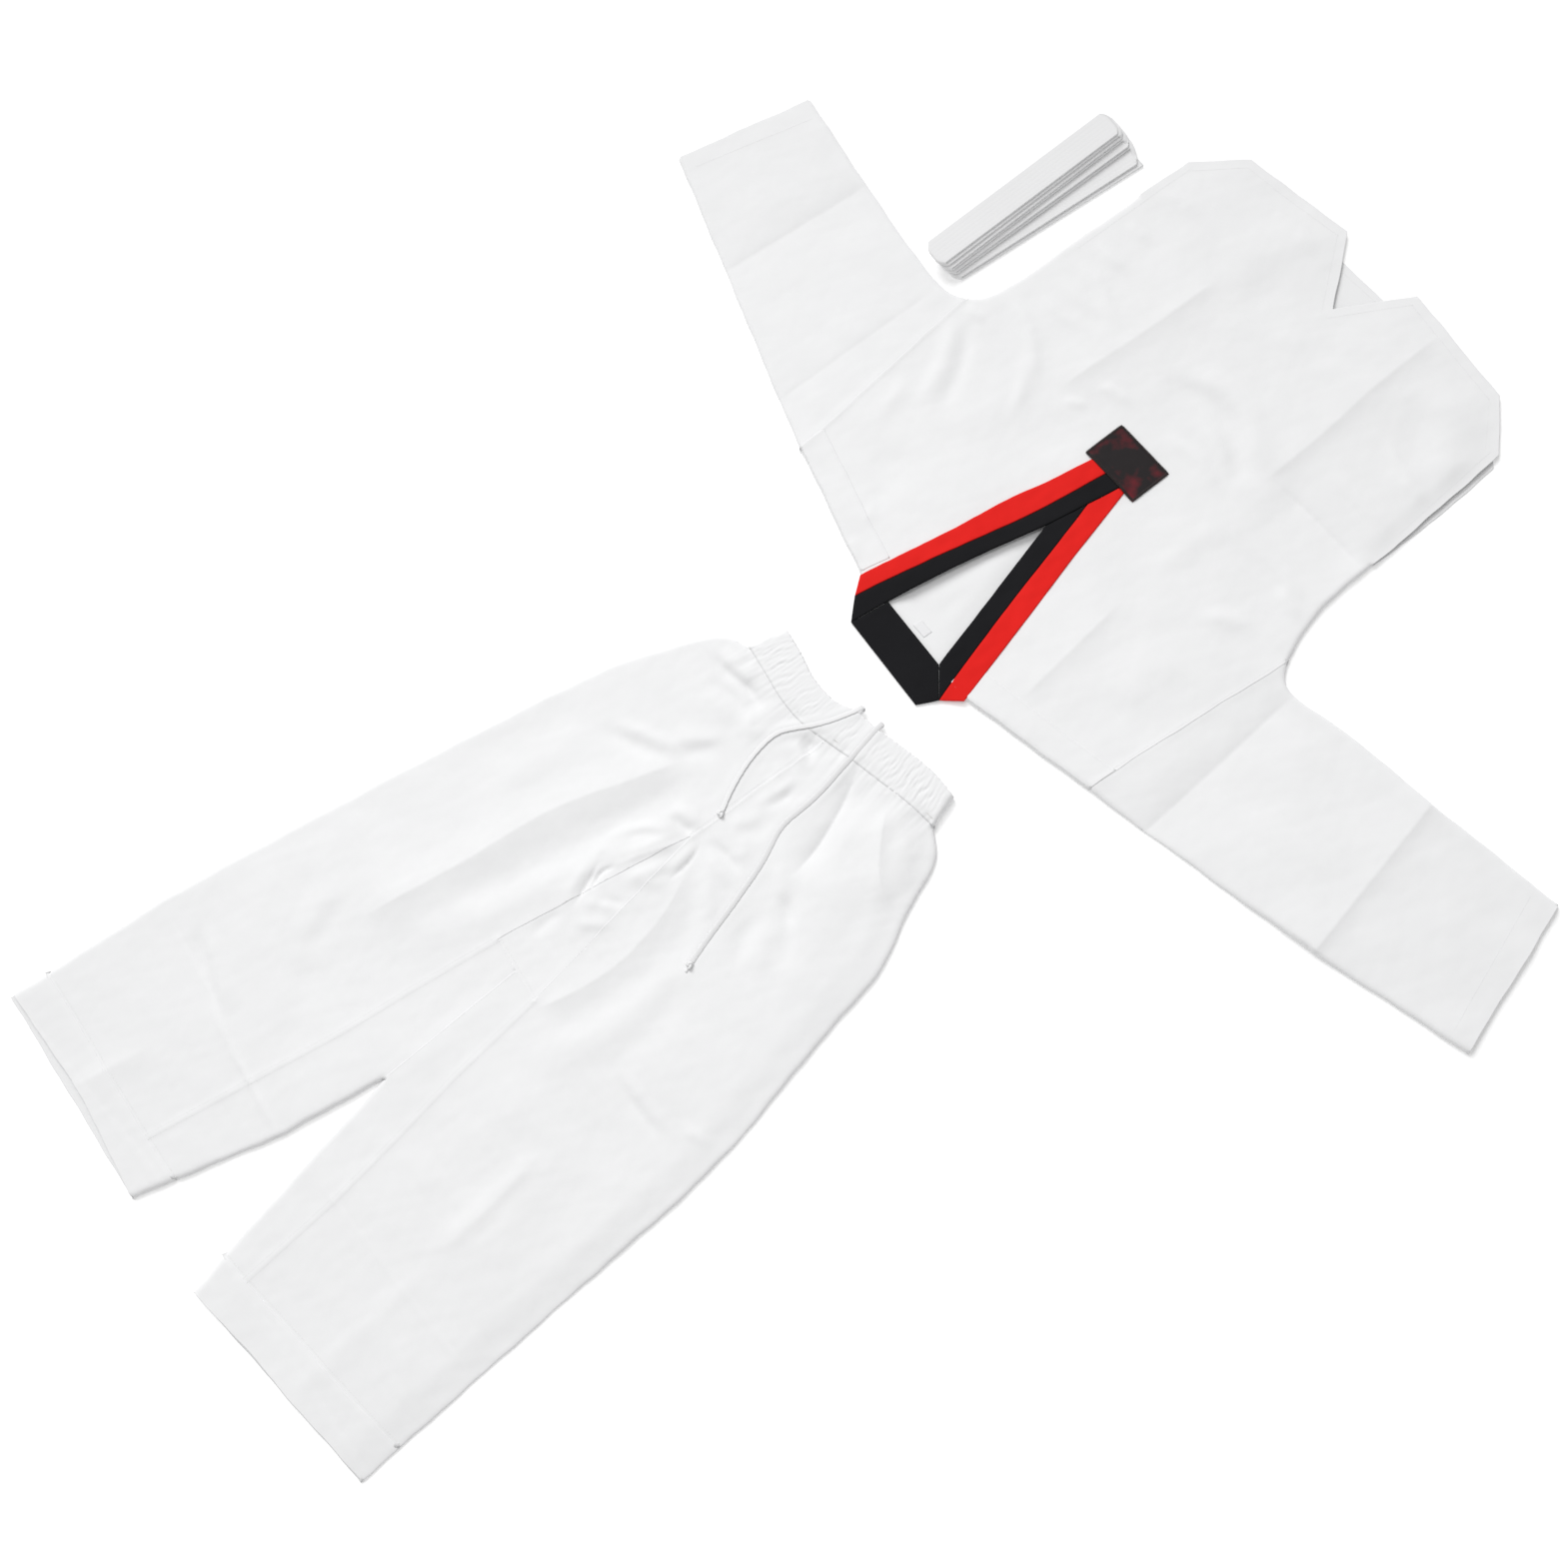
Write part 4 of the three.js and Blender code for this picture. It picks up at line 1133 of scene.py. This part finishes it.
trouserCreases = [  # steep on one side, long on the other
    (4.4, 24, 50, [(-50, -292), (-68, -350), (-101, -450), (-119, -580), (-142, -712)]),
    (-6.4, 20, 11, [(84, -142), (108, -186), (127, -234), (139, -284)]),
    (5.2, 13, 26, [(134, -138), (163, -170), (203, -204), (240, -216)]),
    (3.4, 20, 34, [(52, -358), (80, -420), (93, -490), (88, -555), (72, -612)]),
    (3.4, 9, 12, [(27, -346), (19, -374), (10, -400), (-3, -440)]),
    (-4.4, 2.6, 2.6, [(2, -428), (-4, -446), (-1, -460), (8, -472)]),
    (-3.6, 2.2, 3.4, [(-18, -438), (-8, -460), (0, -478), (8, -500)]),
    (-2.6, 2.4, 2.4, [(38, -334), (49, -358), (53, -398)]),
    (0.8, 2.0, 4.0, [(-310, -896), (-200, -902), (-150, -909)]),
    (2.2, 3.0, 5.0, [(-176, -906), (-120, -913), (-60, -916), (14, -921)]),
    (0.6, 3.0, 2.0, [(206, -680), (220, -740), (228, -842)]),
    (0.5, 2.4, 2.0, [(66, -911), (112, -906), (355, -881)]),
    (0.6, 3.0, 2.0, [(-174, -985), (-195, -1101)]),
    (0.5, 2.0, 2.6, [(190, -567), (290, -566)]),
]
trouserRipple = makeRipples(21, 18, 50, 210)


def gathers(place):
    return (0.5 * np.sin(2 * math.pi * place / 7.1 + 1.3 * np.sin(place / 17))
            + 0.36 * np.sin(2 * math.pi * place / 11.3 + 0.8 + 1.1 * np.sin(place / 11))
            + 0.26 * np.sin(2 * math.pi * place / 4.7 + 2.0 * np.sin(place / 23)))


# Cloth just under the drawstring takes the drawstring's own height
def cordBed(points, z):
    for path in cordPaths:
        high = path[path[:, 2] > drawstring["bedFrom"]]
        over = high[:, 2] > drawstring["overBand"]
        high = high[int(np.argmax(over)) if over.any() else 0:]
        d, _, place, _ = distanceTo(points, high)
        lengths = np.concatenate(([0], np.cumsum(np.hypot(*np.diff(high[:, :2], axis=0).T))))
        bank = drawstring["bedRise"] * smoothstep((d - drawstring["bedHalf"]) / drawstring["bedHalf"])
        floor = np.interp(place, lengths, high[:, 2]) - drawstring["bedDepth"] + bank
        near = 1 - smoothstep((d - drawstring["bedReach"][0]) / drawstring["bedReach"][1])
        z = z + (floor - z) * near
    return z


trouserWelts = [
    (leftPanel, 0.6), (rightPanel, 0.6), ([gusset["left"], gusset["middle"], gusset["right"]], 0.4),
    (centreSeam, 0.3), ([gusset["top"], gusset["left"]], 0.3), ([gusset["top"], gusset["right"]], 0.3)]


def towardsWaist(points, least, most):
    return np.clip((points[:, 1] - trousers["shinAt"]) / trousers["riseLength"], least, most)


def trouserSurface(points):
    z = trousers["high"] + trousers["rise"] * towardsWaist(points, -0.4, 1.05)
    d, _, place, _ = distanceTo(points, smoothLine(waistBottom))
    z += trousers["gather"] * gathers(place) * np.exp(-d / 15)
    z += trousers["pleat"] * np.sin(2 * math.pi * place / 27 + 1.7 * np.sin(place / 31)) \
        * np.exp(-d / 34) * smoothstep(d / 10)
    seen = points - trousers["lean"]
    z += folded(seen, trouserFolds) + folded(seen, trouserCreases, True)
    z += trousers["ripple"] * trouserRipple(points) + 0.1 * fineRipple(points) + 0.03 * crispRipple(points)
    edge = distanceTo(points, rightOutside + [(371, -990), (374, -1041)])[0]
    z -= trousers["rightFall"] * (1 - smoothstep(edge / trousers["fallReach"]))
    for line, welt in trouserWelts:
        z += welt * np.exp(-(distanceTo(points, line)[0] / trousers["weltReach"]) ** 2)
    for line in (leftBand, rightBand):
        d, side = distanceTo(points, line)[:2]
        z += trousers["bandStep"] * np.where(side < 0, 1, 0) * smoothstep(d / 3.5)
    puffed = (((points - trousers["puffAt"]) / trousers["puffSize"]) ** 2).sum(axis=1)
    z += trousers["puff"] * np.exp(-puffed ** 2)
    return cordBed(points, np.maximum(z, 3.0))


def trouserBack(points):
    return 0.2 + 0.2 * np.abs(trouserRipple(points))


def trouserMiddle(points):
    return 2.5 + towardsWaist(points, 0, 1)


smoothWaist = smoothLine(waistBottom)
cut = int(np.argmin(np.hypot(smoothWaist[:, 0] - 38, smoothWaist[:, 1] + 158)))
legs = {
    "left": {
        "waist": smoothWaist[:cut + 1], "outside": leftOutside, "inside": [(14, -921), crotch],
        "fold": leftFold, "panel": leftPanel, "gusset": gusset["left"], "flat": (0.72, 0.92)},
    "right": {
        "waist": smoothWaist[cut:][::-1], "outside": rightOutside, "inside": [(57, -912), crotch],
        "fold": rightFold, "panel": rightPanel, "gusset": gusset["right"], "flat": (0.74, 0.95)},
}
shins = {
    "left": {"outer": [(-313, -893), (-328, -1056)], "inner": [(14, -921), (-22, -1050)], "band": leftBand,
             "front": [(-333, -1104), (-262, -1100), (-192, -1095), (-100, -1098), (-36, -1103)],
             "back": [(-333, -1111), (-36, -1104)]},
    "right": {"outer": [(364, -880), (371, -990)], "inner": [(57, -912), (83, -1044)],
              "band": rightBand[::-1],
              "front": [(374, -1041), (310, -1052), (246, -1064), (170, -1078), (95, -1095)],
              "back": [(374, -1043), (95, -1096)]},
}
fineWaist = (-160, 260, -236, -110, 2.3)
fineGusset = (-70, 130, -520, -286, 2.5)


def makeLeg(side, plan, shin):
    down = [seamless(plan["outside"]), ("fold", shin["outer"]), ("tuck", shin["band"]),
            ("fold", back(shin["inner"])), ("fold", plan["inside"])]
    centre = "tuck" if side == "left" else "seam"
    front = [*down, (centre, [crotch, gusset["middle"]]), ("seam", [gusset["middle"], plan["gusset"]]),
             ("seam", [plan["gusset"], gusset["top"]]), (centre, back(centreSeam)),
             ("tuck", plan["waist"][::-1])]
    behind = [*down, ("seam", [crotch, (38, -158)]), ("tuck", plan["waist"][::-1])]
    guides = [(plan["fold"], jointRows), (plan["panel"], (-5, -2.6, -1.2, 0, 1.2, 2.6, 5)),
              *creaseRows(trouserCreases[:4], trousers["lean"], (-4, -1.8, 0, 1.8, 4), side)]
    tucks = [shin["band"]] + ([centreSeam, [gusset["middle"], crotch]] if side == "left" else [])
    folds = [plan["outside"], shin["outer"], shin["inner"], plan["inside"]]
    piece, area = makeShell(f"{side}Leg", front, behind, trouserSurface, trouserBack, trousers,
                            cloths["whiteLeg"], folds, trouserMiddle, fine=(fineWaist, fineGusset),
                            guides=guides, tucks=tucks, turns=[plan["fold"]])
    nodes = [f"{side}_{part}" for part in ("leg_front", "leg_back", "inner_panel", "outer_seam", "shin_front",
                                           "shin_back", "shin_seam")]
    placed(piece, "white_cloth", nodes, plan["flat"], "laid", area, bend=f"{side}Leg")


for side, plan in legs.items():
    makeLeg(side, plan, shins[side])

gussetCorners = list(gusset.values())
gussetSides = list(zip(gussetCorners, gussetCorners[1:] + gussetCorners[:1]))
points, triangles, area = planMesh([("tuck", line) for line in gussetSides], 3.2, within=2.4)
heights = tucked(points, trouserSurface(points), gussetSides)
crotchGusset = thickened(meshObject("crotchGusset", [inFrame(*p, h) for p, h in zip(points, heights)],
                                    triangles, cloths["whiteLeg"]), trousers["cloth"])
placed(crotchGusset, "white_cloth", ["crotch_gusset"], (0.09, 0.26), "laid", area / 1e6, body="trousers")

cuffs = dict(trousers, cloth=1.3, foldRadius=7.0)
cuffCreases = [[(-185, -1056), (-195, -1101)], [(248, -1012), (250, -1060)]]


def makeCuff(side, shin):
    outer = [shin["band"][0], shin["front"][0]]
    inner = [shin["band"][-1], shin["front"][-1]]
    front = [("fold", outer), ("free", smoothLine(shin["front"])), ("fold", back(inner)),
             ("seam", back(shin["band"]))]
    behind = [("fold", outer), ("free", [shin["front"][0], shin["back"][0]]), ("free", shin["back"]),
              ("free", [shin["back"][1], shin["front"][-1]]), ("fold", back(inner)),
              ("seam", back(shin["band"]))]
    creases = [(line, (-4, -1.5, 1.5, 4)) for line in cuffCreases]
    piece, area = makeShell(f"{side}Cuff", front, behind, trouserSurface, trouserBack, cuffs,
                            cloths["whiteLeg"], [outer, inner], trouserMiddle, guides=creases)
    placed(piece, "white_cloth", [f"{side}_cuff_front", f"{side}_cuff_back"], (0.61, 0.06), "folded", area,
           body=f"{side}_shin")


for side, shin in shins.items():
    makeCuff(side, shin)


# Gathered waistband: a loop of cloth folded over at the top, the elastic inside it
band = {"high": 12.4, "low": 0.25, "inner": 3.2, "cloth": 0.7, "rows": 15, "gather": 0.85, "ruffle": 1.0,
        "spacing": 1.5, "elasticDepth": 1.5, "elasticThick": 0.9, "lap": -0.6, "lapShare": 0.3,
        "length": 300.0, "clear": 0.15, "rowsOfStitch": ((0.55, 0.36), (0.6, 0.7))}


# Places round the flattened loop, at a depth below its outer face
def loopPlan(depth):
    topLine, bottomLine = smoothLine(waistTop), smoothLine(waistBottom)
    length = band["length"]
    radius = (band["high"] - band["low"]) / 2
    bend = radius - depth
    straight = np.arange(radius, length - radius, band["spacing"])
    turn = np.linspace(0, math.pi, 14)[1:-1]
    middle = band["low"] + radius
    share = [straight, length - radius + bend * np.sin(turn), straight[::-1], radius - bend * np.sin(turn)]
    height = [np.full(len(straight), middle + bend), middle + bend * np.cos(turn),
              np.full(len(straight), middle - bend), middle - bend * np.cos(turn)]
    outward = [np.full(len(straight), 1.0), np.cos(turn), np.full(len(straight), -1.0), -np.cos(turn)]
    sideways = [np.zeros(len(straight)), np.sin(turn), np.zeros(len(straight)), -np.sin(turn)]
    share, height = np.concatenate(share) / length, np.concatenate(height)
    outward, sideways = np.concatenate(outward), np.concatenate(sideways)

    def on(line):
        steps = np.concatenate(([0], np.cumsum(np.hypot(*np.diff(line, axis=0).T))))
        return np.column_stack([np.interp(share * steps[-1], steps, line[:, k]) for k in (0, 1)])
    return on(topLine), on(bottomLine), height, outward, sideways, share * length


def loopSurface(name, stations, material, thick, slot, nodes, flat):
    faces, rings = [], []
    for depth, across, gatherShare in stations:
        top, bottom, height, outward, sideways, place = loopPlan(depth)
        plan = bottom + (top - bottom) * across
        if across > 0.9:
            way = (top - bottom) / np.linalg.norm(top - bottom, axis=1)[:, None]
            plan = plan + way * (band["ruffle"] * gatherShare * gathers(place * 1.13 + 40))[:, None]
        bunched = 0.55 + 0.45 * np.exp(-((place - 250) / 30) ** 2) + 0.25 * np.exp(-((place - 30) / 26) ** 2)
        pinch = 1 - sum(deep * math.exp(-((across - at) / 0.05) ** 2) for deep, at in band["rowsOfStitch"])
        swell = band["gather"] * gatherShare * pinch * bunched * (
            gathers(place + 2.2 * np.sin(across * 9 + place / 9))
            + 0.5 * np.sin(place * 1.35 + 7 * across + 2 * np.sin(place / 13)))
        z = height + outward * swell
        plan = plan + np.column_stack((sideways * swell, np.zeros(len(swell))))
        if depth < 0.6:
            front = outward > 0.9
            share = smoothstep(across / band["lapShare"])
            z[front] = cordBed(plan[front], z[front]) * share \
                + (trouserSurface(plan[front]) + band["lap"]) * (1 - share)
        rings.append([inFrame(x, y, max(h, thick + band["clear"])) for (x, y), h in zip(plan, z)])
    count = len(rings[0])
    verts = [v for ring in rings for v in ring]
    for i in range(len(rings) - 1):
        for j in range(count):
            a, b = i * count + j, i * count + (j + 1) % count
            faces.append((a, a + count, b + count, b))
    piece = meshObject(name, verts, faces, material)
    thickened(piece, thick)
    placed(piece, slot, nodes, flat, "gathered", None, body="trousers")


outer = [(0.0, v, 0.35 + 0.65 * math.sin(math.pi * min(1, v * 1.12)) ** 0.7)
         for v in np.linspace(0, 0.985, band["rows"])]
overTop = [(band["inner"] / 2 * (1 - math.cos(a)), 0.99 + 0.02 * math.sin(a), 1.0 - a / 4) for a in
           np.linspace(0.35, math.pi - 0.35, 5)]
innerRows = [(band["inner"], v, 0.2) for v in np.linspace(0.97, 0.02, 6)]
loopSurface("waistband", outer + overTop + innerRows, cloths["white"], band["cloth"], "white_cloth",
            ["waistband_front", "waistband_back"], (0.6, 0.1))
elasticRows = [(band["elasticDepth"] + 0.12 * (i % 2), v, 0.1)
               for i, v in enumerate(np.linspace(0.14, 0.8, 22))]
loopSurface("waistElastic", elasticRows, cloths["elastic"], band["elasticThick"], "elastic",
            ["waist_elastic_front", "waist_elastic_back"], (0.58, 0.032))



def besideSeam(line, gap=3.2):
    return [np.array(line) - (gap, 0), np.array(line) + (gap, 0)]


cuffRows = {"left": [(-322, -1053), (-84, -1050), (-24, -1047)],
            "right": [(88, -1040), (122, -1035), (366, -987)]}
for side, row in cuffRows.items():
    makeStitches(f"{side}LegStitches", besideSeam(legs[side]["panel"]), trouserSurface)
    makeStitches(f"{side}CuffBandStitches", [row], trouserSurface, body=f"{side}_shin")
centreRows = besideSeam(centreSeam) + [
    [(-13, -590.5), (29, -593.5), (71, -596.5)], [(31, -600), (36, -780)], [(30, -352), (-13, -588)],
    [(35, -352), (70, -592)]]
makeStitches("centreStitches", centreRows, trouserSurface, body="trousers")
waistRow = smoothLine([(x, y - 2.4) for x, y in waistBottom])[4:-4]
makeStitches("waistStitches", [waistRow], trouserSurface, body="trousers", raised=-0.15)
print("trousers sewn")

# Belt
belt = {
    "centre": (-339, 477), "width": 38, "thick": 2.72, "pitch": 2.86, "clear": 0.2,
    "grooves": 7, "groove": 0.1, "grooveReach": 0.12, "edge": 0.5,
    "steps": 58, "across": (0.9976, -0.0692), "cornerReach": 13, "cornerRound": 7,
    "low": [-141, -142, -143, -145, -146, -148, -149, -150],
    "high": [130, 130, 137, 136, 135, 134, 133, 132],
    "lowShift": [-7.6, -10, -15, -17, -19.5, -21, -25, -29],
    "highShift": [18.5, 14, -8, -10, -20, -21.5, -25, -27],
}


def beltSection():
    half, thick = belt["width"] / 2, belt["thick"] / 2
    across = np.linspace(-half + belt["edge"], half - belt["edge"], 6 * belt["grooves"] + 1)
    fromGroove = np.mod(across / (belt["width"] / belt["grooves"]) + 0.5, 1) - 0.5
    dents = belt["groove"] * np.exp(-(fromGroove / belt["grooveReach"]) ** 2)
    top = [(a, thick - d) for a, d in zip(across, dents)]
    bottom = [(a, -thick + d) for a, d in zip(across[::-1], dents[::-1])]
    round_ = [math.radians(t) for t in (60, 20, -20, -60)]
    edge = belt["edge"]
    right = [(half - edge + edge * math.cos(t), thick * math.sin(t)) for t in round_]
    left = [(-half + edge - edge * math.cos(t), -thick * math.sin(t)) for t in round_]
    return np.array(top + right + bottom + left)


def beltEnd(end, layer, z):
    return np.array((belt["centre"][0] + belt[f"{end}Shift"][layer], belt["centre"][1] + belt[end][layer], z))


def makeBelt():
    layers = len(belt["low"])
    up = np.array((0.0, 0.0, 1.0))
    centres, aheads, corners = [], [], []
    for i in range(layers):
        z = belt["thick"] / 2 + belt["clear"] + i * belt["pitch"]
        lowEnd, highEnd = beltEnd("low", i, z), beltEnd("high", i, z)
        first, last = (highEnd, lowEnd) if i % 2 == 0 else (lowEnd, highEnd)
        span = np.linalg.norm(last - first)
        way = (last - first) / span
        for t in np.linspace(0, 1, belt["steps"]):
            bow = 0.12 * math.sin(t * 9 + i) * math.sin(math.pi * t)
            centres.append(first + (last - first) * t + up * bow)
            aheads.append(way)
            corners.append(way * (math.exp(-t * span / 10) * (i > 0) - math.exp((t - 1) * span / 10)))
        if i + 1 == layers:
            break
        following = beltEnd("low" if i % 2 == 0 else "high", i + 1, z + belt["pitch"])
        radius = belt["pitch"] / 2
        for angle in np.linspace(0, math.pi, 11)[1:-1]:
            share = (1 - math.cos(angle)) / 2
            plan = last + (following - last) * share
            plan[2] = z + radius * (1 - math.cos(angle))
            centres.append(plan + way * radius * math.sin(angle) * 1.1)
            aheads.append(way * math.cos(angle) + up * math.sin(angle))
            corners.append(-way)
    section = beltSection()
    rings = []
    start = belt["width"] / 2 - belt["cornerReach"]
    for point, ahead, corner in zip(centres, aheads, corners):
        side = np.array((belt["across"][0], belt["across"][1], 0.0))
        over = np.cross(side, ahead)
        over /= np.linalg.norm(over)
        rings.append([point + a * side + b * over + corner * belt["cornerRound"]
                      * max(0, (abs(a) - start) / belt["cornerReach"]) ** 2 for a, b in section])
    sides = len(section)
    verts = [inFrame(*v) for ring in rings for v in ring]
    faces = [(i + j, i + (j + 1) % sides, i + sides + (j + 1) % sides, i + sides + j)
             for i in range(0, (len(rings) - 1) * sides, sides) for j in range(sides)]
    faces += [tuple(range(sides)), tuple((len(rings) - 1) * sides + j for j in range(sides))[::-1]]
    piece = facingOut(meshObject("foldedBelt", verts, faces, cloths["webbing"]))
    length = float(np.linalg.norm(np.diff(centres, axis=0), axis=1).sum()) / 1000
    placed(piece, "belt_webbing", ["folded_belt"], (belt["width"] / 1000, round(length, 3)), "folded", None,
           body="belt")
    print(f"belt: {length:.3f} m of webbing")


makeBelt()

# Floor and light
studio = {"floor": (0.9, 0.9, 0.9), "floorGlow": 0.18, "sky": 0.507,
          "sun": 1.9, "sunSpread": 32, "sunHeight": 44, "sunFrom": 165, "soft": 6.3,
          "softPlace": (-0.24, -0.14, 1.8), "softSize": 0.6}
scene.view_settings.view_transform = "Standard"
world = bpy.data.worlds.new("studio")
world.use_nodes = True
world.node_tree.nodes["Background"].inputs["Color"].default_value = (1, 1, 1, 1)
world.node_tree.nodes["Background"].inputs["Strength"].default_value = studio["sky"]
scene.world = world
sunData = bpy.data.lights.new("keyLight", "SUN")
sunData.energy = studio["sun"]
sunData.angle = math.radians(studio["sunSpread"])
sun = bpy.data.objects.new("keyLight", sunData)
scene.collection.objects.link(sun)
height, turn = math.radians(studio["sunHeight"]), math.radians(studio["sunFrom"])
sunWay = Vector((math.cos(height) * math.cos(turn), math.cos(height) * math.sin(turn), math.sin(height)))
sun.rotation_euler = sunWay.to_track_quat("Z", "Y").to_euler()
softData = bpy.data.lights.new("overhead", "AREA")
softData.energy = studio["soft"]
softData.size = studio["softSize"]
soft = bpy.data.objects.new("overhead", softData)
soft.location = studio["softPlace"]
soft.visible_camera = False
scene.collection.objects.link(soft)
floorLook = bpy.data.materials.new("floor")
floorLook.use_nodes = True
floorShader = floorLook.node_tree.nodes["Principled BSDF"]
floorShader.inputs["Base Color"].default_value = (*studio["floor"], 1)
floorShader.inputs["Roughness"].default_value = 0.9
floorShader.inputs["Emission Color"].default_value = (1, 1, 1, 1)  # a lit sweep
floorShader.inputs["Emission Strength"].default_value = studio["floorGlow"]
floorMesh = meshObject("floor", [(-4, -4, 0), (4, -4, 0), (4, 4, 0), (-4, 4, 0)], [(0, 1, 2, 3)], floorLook)
